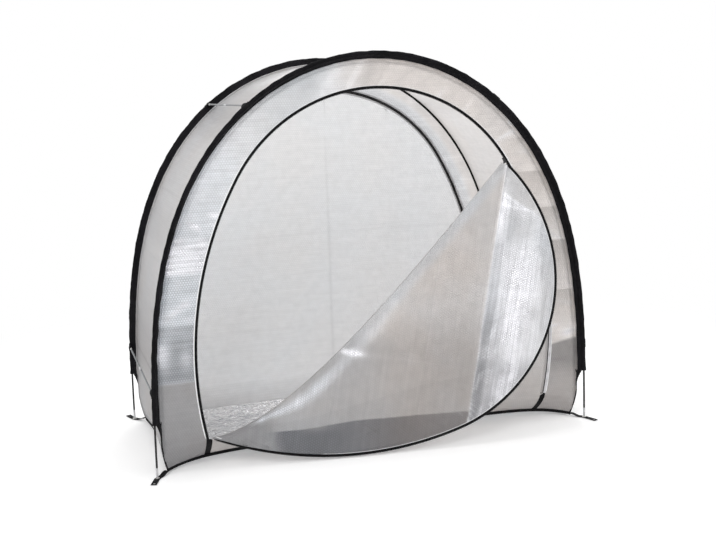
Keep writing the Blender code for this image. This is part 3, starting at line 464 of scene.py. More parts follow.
def rangeOf(value, low, high, start=0.0, end=1.0, soft=False):
    node = newNode(treeOf(value), "MapRange",
                   {"Value": value, "From Min": start, "From Max": end, "To Min": low, "To Max": high})
    node.interpolation_type = "SMOOTHSTEP" if soft else "LINEAR"
    return node.outputs["Result"]


def mixOf(share, a, b, blend="MIX"):
    node = treeOf(share, a, b).nodes.new("ShaderNodeMix")
    node.data_type, node.blend_type = "RGBA", blend
    first, second = ((*value, 1.0) if isinstance(value, tuple) else value for value in (a, b))
    return fill(node, {0: share, 6: first, 7: second}).outputs[2]


def mixShaders(share, first, second):
    return newNode(treeOf(share), "MixShader", {0: share, 1: first, 2: second}).outputs[0]


def grayOf(value):
    return newNode(treeOf(value), "CombineColor", {0: value, 1: value, 2: value}).outputs[0]


def newGroup(name, outputs, **inputs):  # a place and numbers in, numbers out
    tree = bpy.data.node_groups.new(name, "ShaderNodeTree")
    tree.interface.new_socket("Place", in_out="INPUT", socket_type="NodeSocketVector")
    for label, value in inputs.items():
        tree.interface.new_socket(label, in_out="INPUT", socket_type="NodeSocketFloat").default_value = value
    for label in outputs:
        tree.interface.new_socket(label, in_out="OUTPUT", socket_type="NodeSocketFloat")
    return tree, tree.nodes.new("NodeGroupInput").outputs, tree.nodes.new("NodeGroupOutput").inputs


def useGroup(group, **values):
    node = treeOf(*values.values()).nodes.new("ShaderNodeGroup")
    node.node_tree = group
    return fill(node, values).outputs


def vectorOf(kind, values):
    node = treeOf(*values.values()).nodes.new("ShaderNodeVectorMath")
    node.operation = kind
    return fill(node, values).outputs


def cellsOf(place, size):  # x and y counted in threads or bubbles
    scaled = vectorOf("SCALE", {0: place, "Scale": mathOf("DIVIDE", 1.0, size)})[0]
    return newNode(treeOf(place), "SeparateXYZ", {0: scaled}).outputs[:2]


def buildBubbles():  # two nested rows of round bubbles
    tree, given, out = newGroup("bubbleRows", ("Height", "Valley"), Pitch=0.01)
    rowRatio = math.sqrt(3)
    x, y = cellsOf(given["Place"], given["Pitch"])
    y = mathOf("DIVIDE", y, rowRatio)
    found = []
    for shift in (0.0, 0.5):
        dx, dy = (minus(mathOf("FRACT", plus(value, shift)), 0.5) for value in (x, y))
        dy = times(dy, rowRatio)
        found.append(mathOf("SQRT", plus(times(dx, dx), times(dy, dy))))
    height = rangeOf(mathOf("MINIMUM", *found), 1.0, 0.0, 0.16, 0.5, soft=True)
    put(out["Height"], height)
    put(out["Valley"], minus(1.0, height))
    return tree


def buildWeave():  # plain weave: warp over weft, turn about
    tree, given, out = newGroup("plainWeave", ("Height", "Shade"), Thread=0.001)
    x, y = cellsOf(given["Place"], given["Thread"])
    warp, weft = (mathOf("ABSOLUTE", mathOf("SINE", times(value, math.pi))) for value in (x, y))
    cell = plus(mathOf("FLOOR", x), mathOf("FLOOR", y))
    turn = times(mathOf("FRACT", times(cell, 0.5)), 2.0)
    height = plus(times(warp, minus(1.0, turn)), times(weft, turn))
    put(out["Height"], height)
    put(out["Shade"], rangeOf(height, 0.55, 1.0))
    return tree


def buildStitches():  # a dashed row of thread along the cloth
    tree, given, out = newGroup("stitchRow", ("Mask",), Row=0.0, Pitch=0.004, Width=0.0006)
    x, y, _ = newNode(tree, "SeparateXYZ", {0: given["Place"]}).outputs
    away = mathOf("ABSOLUTE", minus(y, given["Row"]))
    line = rangeOf(mathOf("DIVIDE", away, given["Width"]), 1.0, 0.0, 0.6, 1.0, soft=True)
    dash = mathOf("FRACT", mathOf("DIVIDE", x, given["Pitch"]))
    dash = mathOf("ABSOLUTE", minus(dash, 0.5))
    put(out["Mask"], times(line, rangeOf(dash, 1.0, 0.0, 0.33, 0.42, soft=True)))
    return tree


def buildMottle():  # soft uneven patches between two values
    tree, given, out = newGroup("mottle", ("Amount",), Scale=5.0, Low=0.0, High=1.0)
    cloud = newNode(tree, "TexNoise", {"Vector": given["Place"], "Scale": given["Scale"], "Detail": 4.0})
    put(out["Amount"], rangeOf(cloud.outputs["Fac"], given["Low"], given["High"], 0.3, 0.7, soft=True))
    return tree


def buildCrinkle():  # net of fine creases, as film gets when it has been packed
    tree, given, out = newGroup("filmCrinkle", ("Height", "Line"), Scale=20.0)
    cloud = newNode(tree, "TexNoise", {"Vector": given["Place"], "Scale": times(given["Scale"], 0.35)})
    bent = vectorOf("MULTIPLY_ADD", {0: cloud.outputs["Color"], 1: (0.06, 0.06, 0.06), 2: given["Place"]})
    cells = newNode(tree, "TexVoronoi", {"Vector": bent[0], "Scale": given["Scale"]})
    cells.feature = "DISTANCE_TO_EDGE"
    put(out["Height"], rangeOf(cells.outputs["Distance"], 0.0, 1.0, 0.0, 0.30))
    put(out["Line"], rangeOf(cells.outputs["Distance"], 1.0, 0.0, 0.0, 0.05, soft=True))
    return tree


bubbleRows, plainWeave, stitchRow = buildBubbles(), buildWeave(), buildStitches()
mottle, filmCrinkle = buildMottle(), buildCrinkle()


def newMaterial(name):
    made = bpy.data.materials.new(name)
    made.use_nodes = True
    tree = made.node_tree
    return made, tree, tree.nodes["Principled BSDF"]


def flatPlace(tree):
    node = tree.nodes.new("ShaderNodeUVMap")
    node.uv_map = "flat"
    return node.outputs["UV"]


def objectPlace(tree):
    return tree.nodes.new("ShaderNodeTexCoord").outputs["Object"]


def mottled(place, scale, low=0.0, high=1.0):
    return useGroup(mottle, Place=place, Scale=scale, Low=low, High=high)["Amount"]


def stretched(place, factors):
    return newNode(treeOf(place), "Mapping", {"Vector": place, "Scale": factors}).outputs[0]


def bumpOf(shader, height, strength, distance):
    bump = newNode(treeOf(height), "Bump", {"Strength": strength, "Distance": distance, "Height": height})
    put(shader.inputs["Normal"], bump.outputs["Normal"])


# dark is the tint of the painted shade; silver is the tint where the painted sheen is full; the valley numbers and
# the crease line number set the painted shade between bubbles and along crinkles
filmFinish = {
    "cool": (0.82, 0.885, 0.95), "warm": (0.905, 0.842, 0.797), "silver": (0.955, 0.950, 0.995),
    "dark": (0.124, 0.118, 0.127), "coolGlow": (0.90, 0.95, 0.99), "warmGlow": (0.96, 0.915, 0.885),
    "glow": 0.42, "paintedSheenGlow": 0.10, "pitch": 0.0113, "bubbleDistance": 0.0018, "crinkleScale": 16.0,
    "matteMetal": 0.12, "silverMetal": 0.88, "matteRough": 0.46, "silverRough": 0.30,
    "patchScale": 2.6, "patches": 0.16, "fineScale": 24.0, "streaks": (5.0, 62.0, 1.0),
    "coolValley": 0.66, "warmValley": 0.13, "warmFrom": 0.42, "silverValley": 0.35, "creaseShade": 0.965,
    "creaseHeight": 0.40, "streakHeight": 0.5, "bump": 0.6,
}


def bubbleFilm(name, look):
    made, tree, shader = newMaterial(name)
    flat, place = flatPlace(tree), objectPlace(tree)
    # each point's painted sheen, tint and painted shade
    painted = tree.nodes.new("ShaderNodeVertexColor")
    painted.layer_name = "finishAndPaintedLight"
    paintedSheen, warmth, shade = newNode(tree, "SeparateColor", {0: painted.outputs["Color"]}).outputs
    bubbles = useGroup(bubbleRows, Place=flat, Pitch=look["pitch"])
    crinkle = useGroup(filmCrinkle, Place=place, Scale=look["crinkleScale"])
    patches = mottled(place, look["patchScale"], -look["patches"], look["patches"])
    fine = mottled(place, look["fineScale"])
    streak = mottled(stretched(flat, look["streaks"]), 1.0)  # runs along the bubble rows
    tint = mixOf(mathOf("ADD", warmth, patches, clamp=True), look["cool"], look["warm"])
    tint = mixOf(paintedSheen, tint, look["silver"])
    deep = rangeOf(warmth, look["coolValley"], look["warmValley"], 0.0, look["warmFrom"])
    deep = times(deep, rangeOf(paintedSheen, 1.0, look["silverValley"]))  # painted shade between the bubbles, deepest on cool film and faint where the painted sheen is
    valley = minus(1.0, times(bubbles["Valley"], deep))
    # painted shade streaks along the bubble rows, stronger where the painted sheen is, and painted shade along the
    # crinkle lines
    streakShade = times(minus(1.0, streak), rangeOf(paintedSheen, 0.05, 0.30))
    lines = minus(rangeOf(crinkle["Line"], 1.0, look["creaseShade"]), streakShade)
    level = times(times(valley, lines), rangeOf(fine, 0.94, 1.05))
    # painted shade darkens the colour towards the dark tint
    dark = mixOf(shade, (1.0, 1.0, 1.0), look["dark"])
    tint = mixOf(1.0, mixOf(1.0, tint, grayOf(level), "MULTIPLY"), dark, "MULTIPLY")
    rough = rangeOf(paintedSheen, look["matteRough"], look["silverRough"])
    fill(shader, {"Base Color": tint, "Roughness": plus(rough, rangeOf(fine, -0.06, 0.08)),
                  "Metallic": rangeOf(paintedSheen, look["matteMetal"], look["silverMetal"])})
    height = plus(bubbles["Height"], times(crinkle["Height"], look["creaseHeight"]))
    height = plus(height, times(streak, look["streakHeight"]))
    bumpOf(shader, height, look["bump"], look["bubbleDistance"])
    glow = mixOf(warmth, look["coolGlow"], look["warmGlow"])  # daylight that comes through the film
    # the painted shade darkens the light through the film too
    through = newNode(tree, "BsdfTranslucent", {"Color": mixOf(1.0, glow, dark, "MULTIPLY")}).outputs[0]
    # less light comes through where the painted sheen is
    film = mixShaders(rangeOf(paintedSheen, look["glow"], look["paintedSheenGlow"]), shader.outputs[0], through)
    behind = newNode(tree, "NewGeometry", {}).outputs["Backfacing"]  # light inside the film goes straight on
    clear = newNode(tree, "BsdfTransparent", {}).outputs[0]
    put(tree.nodes["Material Output"].inputs["Surface"], mixShaders(behind, film, clear))
    return made


clothFinish = {
    "sleeve": {"dark": (0.004, 0.004, 0.005), "light": (0.009, 0.008, 0.011), "thread": 0.0011, "rough": 0.80},
    "binding": {"dark": (0.003, 0.003, 0.004), "light": (0.008, 0.008, 0.009), "thread": 0.0014, "rough": 0.76},
    "webbing": {"dark": (0.005, 0.005, 0.006), "light": (0.015, 0.015, 0.017), "thread": 0.0019, "rough": 0.78},
    "stitch": (0.034, 0.034, 0.038), "dust": (0.026, 0.025, 0.024),
}


def wovenCloth(name, look, rows, worn=0.25):  # rows are where the stitches run
    made, tree, shader = newMaterial(name)
    flat, place = flatPlace(tree), objectPlace(tree)
    weave = useGroup(plainWeave, Place=flat, Thread=look["thread"])
    patches = mottled(place, 9.0)
    tint = mixOf(patches, look["dark"], look["light"])
    tint = mixOf(mottled(place, 70.0, 0.0, worn), tint, clothFinish["dust"])
    tint = mixOf(1.0, tint, grayOf(weave["Shade"]), "MULTIPLY")
    thread, *others = (useGroup(stitchRow, Place=flat, Row=row)["Mask"] for row in rows)
    for mask in others:
        thread = mathOf("MAXIMUM", thread, mask)
    rough = rangeOf(patches, look["rough"] + 0.08, look["rough"] - 0.10)
    fill(shader, {"Base Color": mixOf(thread, tint, clothFinish["stitch"]), "Roughness": rough,
                  "Sheen Weight": 0.015, "Sheen Roughness": 0.45, "Specular IOR Level": 0.08})
    bumpOf(shader, plus(weave["Height"], times(thread, 1.6)), 0.6, 0.0004)
    return made


print("film, cloth and relief tools ready")


def plainFinish(name, color, rough, metal=0.0, scale=30.0, change=0.12):
    made, tree, shader = newMaterial(name)
    place = objectPlace(tree)
    patches, grain = mottled(place, scale, 1.0 - change, 1.0 + change), mottled(place, scale * 14.0)
    fill(shader, {"Base Color": mixOf(1.0, color, grayOf(patches), "MULTIPLY"), "Metallic": metal,
                  "Roughness": rangeOf(grain, rough - 0.05, rough + 0.07)})
    bumpOf(shader, grain, 0.4, 0.0002)
    return made


def longTube(name, color, rough, metal, bands, axis, scale=60.0):  # tube with fine lengthwise streaks
    made, tree, shader = newMaterial(name)
    place = objectPlace(tree)
    streak = mottled(stretched(place, tuple(0.05 if k == axis else 1.0 for k in range(3))), scale * 8.0)
    scuff = mottled(place, scale, 0.0, 0.35)
    tint = mixOf(streak, tuple(0.8 * c for c in color), tuple(min(1.0, 1.2 * c) for c in color))
    tint = mixOf(scuff, tint, tuple(0.5 * c + 0.12 for c in color))
    far = mathOf("ABSOLUTE", newNode(tree, "SeparateXYZ", {0: place}).outputs[axis])
    for start, end, bandColor, bandMetal in bands:
        inside = times(mathOf("GREATER_THAN", far, start), mathOf("LESS_THAN", far, end))
        tint = mixOf(inside, tint, bandColor)
        metal = rangeOf(inside, metal, bandMetal)
    fill(shader, {"Base Color": tint, "Metallic": metal, "Specular IOR Level": 0.12,
                  "Roughness": rangeOf(streak, rough - 0.05, rough + 0.08)})
    bumpOf(shader, streak, 0.3, 0.0002)
    return made


filmCloth = bubbleFilm("bubbleFilm", filmFinish)
sleeveCloth = wovenCloth("sleeveCloth", clothFinish["sleeve"], rows=(0.052, 0.058))
bindingCloth = wovenCloth("bindingCloth", clothFinish["binding"], rows=(0.006,))
tapeCloth = wovenCloth("zipTapeCloth", clothFinish["binding"], rows=(0.0095,))
webbingCloth = wovenCloth("strapWebbing", clothFinish["webbing"], rows=(0.004, 0.022), worn=0.08)
zipCoverFilm = plainFinish("zipCoverFilm", (0.60, 0.59, 0.61), 0.42, scale=30.0, change=0.18)
pipingPlastic = plainFinish("pipingPlastic", (0.93, 0.93, 0.94), 0.40, scale=40.0, change=0.04)
toothPlastic = plainFinish("toothPlastic", (0.014, 0.014, 0.015), 0.38, scale=60.0, change=0.3)
print("materials ready")


def ownPiece(obj, body, slot, *nodes):
    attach(obj, body)
    if nodes:
        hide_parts(*nodes)
    return obj


# Roof and sides: one sheet over both poles

roof = {
    "rows": 520, "columns": 44, "creaseDepth": 0.0022, "creaseWidth": 0.010, "wave": 0.0030, "pucker": 0.0016,
    "creaseHeights": ((0.40, 1), (0.665, -1), (0.90, 1), (1.04, -1), (1.204, 1), (1.52, -1)),
    "dents": 46, "dentDepth": 0.0016, "paintedSheen": 0.10, "warmth": 0.78, "outerWarmth": 0.62,
    "outerShade": 0.26, "roofLowShade": 0.20, "crownShade": 0.14, "innerShade": 0.10, "innerLowShade": 0.16,
}


def roofHollow(v):  # 0 at the seams, 1 midway between the poles
    seam = tent["seamBand"] / (2 * wallOffset)
    return arch(np.clip((v - seam) / (1 - 2 * seam), 0.0, 1.0))


def roofShade(z):  # painted shade: the outside is darker low down and over the crown
    return (roof["outerShade"] + roof["roofLowShade"] * smooth(0.95 - z, 0.0, 0.4)
            + roof["crownShade"] * smooth(z - 1.35, 0.0, 0.3))


def roofFilm():
    low = poleAt(tent["hem"])
    s = np.linspace(low, 1.0 - low, roof["rows"])[:, None]
    v = evenRow(roof["columns"])
    hollow = roofHollow(v)
    z = onPole(s)[1]
    run = s * poleLength
    across = v * 2 * wallOffset
    toSeam = np.minimum(v, 1 - v) * 2 * wallOffset
    relief = roof["wave"] * ripple(run, across, 11, 0.55)
    relief = relief + roof["creaseDepth"] * foldLines(z, roof["creaseHeights"], roof["creaseWidth"])
    relief = relief + roof["dentDepth"] * creases(run, across, 12, roof["dents"], 0.012, 0.16)
    relief = relief + roof["pucker"] * np.exp(-toSeam / 0.05) * ripple(run, 0 * run, 13, 0.07, 5)
    sag = tent["roofSag"] * np.minimum(z / tent["height"], 1.0) + tent["sideBow"] * skirt(z)
    x, height = coverEdge(s + 0 * v, tent["film"] / 2 + hollow * sag + relief * hollow ** 0.5)
    edge = wallOffset + tent["film"] / 2 - tent["tuck"] * skirt(z)
    grid = gridOf(x, edge * (2 * v - 1), height)
    # painted sheen ripples, painted shade along the packing folds, and each face's own painted shade
    paintedSheen = roof["paintedSheen"] + 0.10 * smooth(ripple(run, across, 14, 0.4), 0.4, 1.4)
    shade = 0.12 * smooth(foldLines(z, roof["creaseHeights"], 0.006), 0.3, 0.9)
    shade = shade + 0.06 * smooth(ripple(run, across * 0.2, 15, 0.45), 0.2, 1.0)
    dim = roof["innerShade"] + roof["innerLowShade"] * smooth(0.5 - z, 0.0, 0.4)
    pair = [sheenTintShadeOf(paintedSheen, roof["outerWarmth"], shade + roofShade(z)), sheenTintShadeOf(paintedSheen, roof["warmth"], shade + dim)]
    if gridNormals(grid)[roof["rows"] // 2, roof["columns"] // 2, 2] < 0:
        pair.reverse()
    film = addSheet("roofFilm", grid, tent["film"], filmCloth, gridOf(across, run), tuple(pair))
    ownPiece(film, "tent", "bubble_film", "tunnel_cover")


roofFilm()
print("roof film ready")


# End walls: an upturned U of film between the pole and the zip

border = {
    "rows": 560, "columns": 22, "hubZ": 0.55, "creaseDepth": 0.0026, "creaseWidth": 0.009, "wave": 0.0020,
    "creaseHeights": ((0.40, 1), (0.665, -1), (0.90, 1), (1.04, -1), (1.204, 1)), "pucker": 0.0014,
    "dents": 60, "dentDepth": 0.0014,
}


def byAngle(x, z, share):  # points of an outline at even angles round the hub
    turn = np.unwrap(np.arctan2(z - border["hubZ"], x - tent["doorShift"]))
    part = (turn - turn[0]) / (turn[-1] - turn[0])
    return np.interp(share, part, x), np.interp(share, part, z)


def borderOutlines(share):
    low = poleAt(tent["hem"])
    outerX, outerZ = coverEdge(np.linspace(low, 1.0 - low, 1601), tent["film"] + 0.0003)
    innerX, innerZ = onZip(np.linspace(0.0, zipLength, 1201), filmEdge)
    levels = np.linspace(0.0, 1.0, 12)[:-1]
    footX = [zipFoot(hand, filmEdge) for hand in (-1, 1)]
    left, right = (between(hemLine(x), tent["sill"], levels) for x in footX)
    innerX = np.concatenate([np.full(len(left), footX[0]), innerX, np.full(len(right), footX[1])])
    innerZ = np.concatenate([left, innerZ, right[::-1]])
    return byAngle(outerX, outerZ, share), byAngle(innerX, innerZ, share)


def wallRelief(x, z, seed):
    fine = border["wave"] * ripple(x, z, seed, 0.34)
    fine = fine + border["creaseDepth"] * foldLines(z, border["creaseHeights"], border["creaseWidth"])
    return fine + border["dentDepth"] * creases(x, z, seed + 1, border["dents"], 0.007, 0.10)


# Patches are weight, centre, reach and lean; bands are weight, low, high and softness.
# On the left: bands and patches of painted sheen, bands of painted shade and patches of painted light.
leftPaint = {
    "paintedSheenBands": ((0.54, 0.885, 1.018, 0.012),), "crushedSheenBand": (0.40, 1.018, 1.145, 0.008),
    "paintedSheenPatches": ((0.45, (-0.925, 0.728), (0.085, 0.016), 34.0), (0.40, (-1.00, 0.53), (0.035, 0.055)),
                     (0.35, (-0.895, 0.515), (0.022, 0.040))),
    "paintedShadeBands": ((0.06, 0.668, 0.885, 0.02), (0.36, 0.585, 0.664, 0.005), (-0.12, 0.885, 1.018),
                  (0.58, 0.408, 0.585, 0.03)),
    "paintedLightPatches": ((0.60, (-1.00, 0.54), (0.04, 0.07)), (0.35, (-0.895, 0.515), (0.03, 0.05)),
                    (0.25, (-0.925, 0.728), (0.085, 0.020), 34.0)),
    "folds": ((1.020, 1), (1.137, 1)), "paintedSheen": 0.46, "lowPaintedSheen": 0.07, "lowShade": 0.59,
    "warmth": 0.04, "lowWarmth": 0.60, "highWarmth": 0.26,
}
# On the right: panels between folds get painted shade, corner holds painted highlights, lit painted light and dim
# painted shade.
rightPaint = {
    "panels": ((0.447, 0.656), (0.656, 0.905), (0.905, 1.066), (1.066, 1.24), (1.24, 1.40)),
    "corner": ((1.0, (0.975, 0.440), (0.036, 0.022), 10.0), (0.8, (0.900, 0.478), (0.030, 0.007), 12.0)),
    "lit": ((1.0, (-0.085, 1.705), (0.075, 0.014), 58.0), (0.7, (-0.20, 1.675), (0.09, 0.028), 54.0),
            (1.2, (0.415, 1.508), (0.085, 0.010), 49.0)),
    "dim": ((1.0, (-0.02, 1.70), (0.08, 0.03), 58.0), (0.8, (-0.30, 1.665), (0.05, 0.03), 30.0),
            (1.2, (0.455, 1.395), (0.045, 0.018), -56.0)),
    "paintedSheen": 0.10, "shade": 0.11,
}


def leftPaintedLight(x, z, low):  # painted sheen bands above, painted shade below
    # a crumpled pattern that varies the painted sheen
    crushed = smooth(ripple(x * 1.6, z * 2.2, 23, 0.12), 0.0, 1.2)
    paintedSheen = leftPaint["paintedSheen"] + bands(z, leftPaint["paintedSheenBands"]) + spots(x, z, leftPaint["paintedSheenPatches"])
    paintedSheen = paintedSheen + bands(z, (leftPaint["crushedSheenBand"],)) * (0.3 + 0.7 * crushed) + 0.16 * (crushed - 0.5)
    shade = bands(z, leftPaint["paintedShadeBands"]) - spots(x, z, leftPaint["paintedLightPatches"]) - 0.06 * smooth(z, 0.90, 1.0)
    shade = shade + 0.16 * foldLines(z, leftPaint["folds"], 0.004) * smooth(-x, 0.70, 0.80)
    lowShade = leftPaint["lowShade"] + 0.06 * smooth(0.3 - z, 0.0, 0.2)
    warmth = between(leftPaint["warmth"], leftPaint["highWarmth"], smooth(z, 1.02, 1.25))
    return [between(paintedSheen, leftPaint["lowPaintedSheen"], low), between(warmth, leftPaint["lowWarmth"], low),
            between(shade, lowShade, low)]


def rightPaintedLight(x, z, low):  # matte film; each panel's painted shade lightens towards the fold below it
    panel = sum(band(z, bottom, top, 0.003) * ((z - bottom) / (top - bottom) - 0.25)
                for bottom, top in rightPaint["panels"])
    onRight = smooth(x, 0.60, 0.80)
    arc = 0.8 * np.arctan2(x - tent["doorShift"], z - border["hubZ"])
    # radial streaks of painted glint and painted shade
    ray = creases(arc, np.hypot(x, z - border["hubZ"]), 25, 54, 0.010, 0.10, (1.15, 0.30))
    glint, rayShade = np.maximum(ray, 0) * (1 - 0.6 * onRight), np.maximum(-ray, 0) * (1 - 0.4 * onRight)
    # painted highlights low on the right leg
    corner = spots(x, z, rightPaint["corner"]) * onRight
    lit, dim = spots(x, z, rightPaint["lit"]), spots(x, z, rightPaint["dim"])
    paintedSheen = rightPaint["paintedSheen"] + 0.45 * glint * (1 - low) + 0.7 * corner - 0.3 * panel * onRight + 0.30 * lit
    shade = rightPaint["shade"] + (0.34 * panel + 0.06 * band(z, 0.656, 0.90) - 0.06) * onRight - 0.5 * corner
    shade = shade + (0.43 + 0.16 * smooth(z, 0.20, 0.32)) * low * onRight
    shade = shade - 0.14 * glint + 0.10 * rayShade + 0.15 * dim - 0.22 * lit
    warmth = (1.0 - 0.15 * low - 0.3 * np.clip(glint, 0, 1)) * (0.34 + 0.66 * smooth(x, -0.32, 0.05))
    return [paintedSheen, warmth, shade]


def frontBorderPaintedLight(x, z):
    lowFold = 0.410 + 0.19 * np.minimum(x - 1.0, 0.0) * smooth(x, 0.0, 0.1)
    low = 1 - smooth(z, lowFold - 0.006, lowFold + 0.006)
    side = smooth(-x, 0.38, 0.72)  # painted sheen on the left leg, the rest matte
    both = zip(rightPaintedLight(x, z, low), leftPaintedLight(x, z, low))
    return sheenTintShadeOf(*(between(right, left, side) for right, left in both))


def backBorderPaintedLight(x, z, v):
    # painted glints, with painted shade between them and lower down
    glint = smooth(ripple(x - 0.4 * z, z, 33, 0.14, 6), -0.2, 1.2)
    paintedSheen = 0.06 + 0.24 * glint + 0.22 * smooth(v, 0.55, 0.8)
    shade = 0.14 * (1 - glint) + 0.20 * smooth(0.6 - z, 0.0, 0.4)
    return sheenTintShadeOf(paintedSheen, 0.80 - 0.50 * smooth(v, 0.35, 0.75), shade)


def borderPaintedLight(facing, x, z, v):
    return frontBorderPaintedLight(x, z) if facing < 0 else backBorderPaintedLight(x, z, v)


def borderFilm(name, node, facing, seed):
    share = np.linspace(0.0, 1.0, border["rows"])
    (ox, oz), (ix, iz) = borderOutlines(share)
    v = evenRow(border["columns"])
    x, z = between(ox[:, None], ix[:, None], v), between(oz[:, None], iz[:, None], v)
    run = runOf(ox, oz)[:, None]
    relief = border["pucker"] * np.exp(-v / 0.25) * ripple(run + 0 * v, 0 * x, seed + 2, 0.06, 5)
    relief = (wallRelief(x, z, seed) + relief) * arch(v, 0.6)
    flat, length = gridOf(x, z), float(run[-1, 0])
    film = addSheet(name, wallPoint(x, z, facing, relief), tent["film"], filmCloth, flat,
                    borderPaintedLight(facing, x, z, v))
    ownPiece(film, "tent", "bubble_film", node)


borderFilm("frontBorderFilm", "front_wall", -1, 21)
borderFilm("backBorderFilm", "back_wall", 1, 31)
print("wall borders ready")


# Doors: the back one closed, the front one's lower half fixed

door = {
    "rows": 150, "columns": 110, "sillRows": 26, "wave": 0.0030, "creaseDepth": 0.0024, "creaseWidth": 0.008,
    "panelLines": ((-0.42, 1), (0.02, 1), (0.43, 1)), "panelDepth": 0.0020, "dents": 50, "dentDepth": 0.0015,
}


def doorRelief(x, z, seed):
    soft = door["wave"] * ripple(x, z, seed, 0.62)
    soft = soft + door["creaseDepth"] * foldLines(z, border["creaseHeights"], door["creaseWidth"])
    soft = soft + door["panelDepth"] * foldLines(x, door["panelLines"], 0.007)
    return soft + door["dentDepth"] * creases(x, z, seed + 1, door["dents"], 0.008, 0.12)


def doorFilm(name, node, facing, left, right, seed, paint):
    v = evenRow(door["columns"])
    level = np.linspace(0.0, 1.0, door["sillRows"])[:-1, None]
    lowX = between(zipFoot(-1, -filmEdge), zipFoot(1, -filmEdge), v) + 0 * level
    lowZ = between(hemLine(lowX), tent["sill"], level)
    x, z = (np.concatenate([low, between(a[:, None], b[:, None], v)])
            for low, a, b in zip((lowX, lowZ), left, right))
    row = np.arange(len(x))[:, None]
    ends = np.minimum(row / 8.0, 1.0) * np.minimum((len(x) - 1 - row) / 8.0, 1.0)
    grid = wallPoint(x, z, facing, doorRelief(x, z, seed) * arch(v, 0.5) * ends)
    flat = gridOf(x, z)
    film = addSheet(name, grid, tent["film"], filmCloth, flat, paint(x, z))
    ownPiece(film, "tent", "bubble_film", node)


def backDoorPaintedLight(x, z):
    # painted sheen ripples; painted shade along the middle fold, lower down and along the packing folds
    paintedSheen = 0.08 + 0.08 * smooth(ripple(x, z, 44, 0.5), 0.6, 1.6)
    shade = 0.09 * smooth(foldLines(x, ((0.02, 1),), 0.006), 0.4, 0.9) + 0.10 * smooth(1.45 - z, 0.0, 0.7)
    packed = smooth(foldLines(z, border["creaseHeights"], 0.006), 0.3, 0.9)
    return sheenTintShadeOf(paintedSheen, 0.45, 0.05 + shade + 0.03 * packed)


def frontDoorPaintedLight(x, z):
    # painted sheen ripples; painted shade, darker at the bottom
    paintedSheen = 0.10 + 0.10 * smooth(ripple(x, z, 54, 0.3), 0.6, 1.6)
    return sheenTintShadeOf(paintedSheen, 0.85, 0.24 + 0.08 * smooth(0.30 - z, 0.0, 0.15))


halfRuns = np.linspace(0.0, zipLength / 2 * 0.9985, door["rows"])
doorFilm("backDoorFilm", "back_door", 1, onZip(halfRuns, -filmEdge), onZip(zipLength - halfRuns, -filmEdge),
         41, backDoorPaintedLight)

foldStart, foldEnd = foldSpan()
foldLine = foldCurve(np.linspace(foldStart, foldEnd, door["rows"])).T
legX, legZ = onZip(np.linspace(zipLength, sliderRun, 900), -filmEdge)
doorFilm("frontDoorFilm", "front_door", -1, foldLine, (np.interp(foldLine[1], legZ, legX), foldLine[1]),
         51, frontDoorPaintedLight)
print("doors ready")


# Open half of the front door: it folds out over the fixed half and hangs from the fold

flap = {
    "rows": 280, "columns": 118, "rollColumns": 24, "thickness": 0.0034, "wave": 0.0045, "creaseDepth": 0.0040,
    "creaseWidth": 0.010, "packHeights": ((0.40, 1), (0.665, -1), (0.905, 1), (1.06, -1), (1.30, 2)),
    "packSides": ((-0.335, 1), (0.045, -1), (0.425, 1)), "dents": 70, "dentDepth": 0.0022, "stand": 0.006,
    # crease parts the painted silver from the matte side and carries a painted highlight; lowBand is the top of the
    # painted shade band at the bottom
    "crease": 1.300, "lowBand": 0.168,
}


def stationRuns():  # how the sheet is ruled from the fold to its zip edge
    side = np.linspace(-math.degrees(zipFootAngle), -tent["crownHalf"], fold["sideStations"] + 1)
    crown = np.arange(-tent["crownHalf"] + fold["crownStep"], fold["slider"], fold["crownStep"])
    runs = np.array([zipRunAt(a) for a in np.concatenate([side, crown])])
    first, last = fold["clearance"], sliderRun - fold["clearance"]
    return np.concatenate([[first], runs[(runs > first + 0.003) & (runs < last - 0.001)], [last]])


def flapCrease(x, z):
    line = fold["creaseX"] - fold["creaseLean"] * (fold["creaseZ"] - z)
    return fold["creaseDepth"] * np.exp(-((x - line) / fold["creaseWidth"]) ** 2)


def flapShape():
    stations = stationRuns()
    run = np.linspace(stations[0], stations[-1], flap["rows"])
    share = np.interp(run, stations, np.linspace(0.0, 1.0, len(stations)))
    edge = foldCurve(between(foldStart, foldEnd, share))
    rimX, rimZ = onZip(run, -filmEdge)
    rim = opened(gridOf(rimX, -wallOffset, rimZ))
    v = evenRow(flap["columns"])[..., None]
    start = gridOf(edge[:, 0], -wallOffset - 2 * fold["standoff"], edge[:, 1])
    return (between(start[:, None, :], rim[:, None, :], v),
            between(edge[:, None, :], gridOf(rimX, rimZ)[:, None, :], v), edge)


# Places on the door are across and up with the door closed, or x and z as it hangs open.
# Painted light: bright holds painted highlights, patch painted shade, sweep a painted highlight, blush a pinker,
# slightly lighter patch.
flapPaint = {
    "slope": 0.435, "paleFrom": 0.494, "middleFrom": 0.420,
    "bright": ((0.50, (0.10, 1.45), (0.17, 0.095)), (0.50, (0.38, 1.322), (0.13, 0.020)),
               (0.60, (-0.40, 1.455), (0.11, 0.065), 20.0), (0.45, (-0.14, 1.45), (0.15, 0.07))),
    "patch": ((1.0, (0.32, 1.42), (0.075, 0.085)),), "sweep": ((1.0, (-0.142, 0.462), (0.058, 0.014), -14.0),),
    "blush": ((1.0, (-0.34, 0.150), (0.07, 0.02)),), "creaseGlints": 110,
    "rightPaintedSheen": 0.50, "rightWarmth": 0.34, "leftPaintedSheen": 0.07, "leftShade": 0.11, "leftWarmth": 0.84,
}


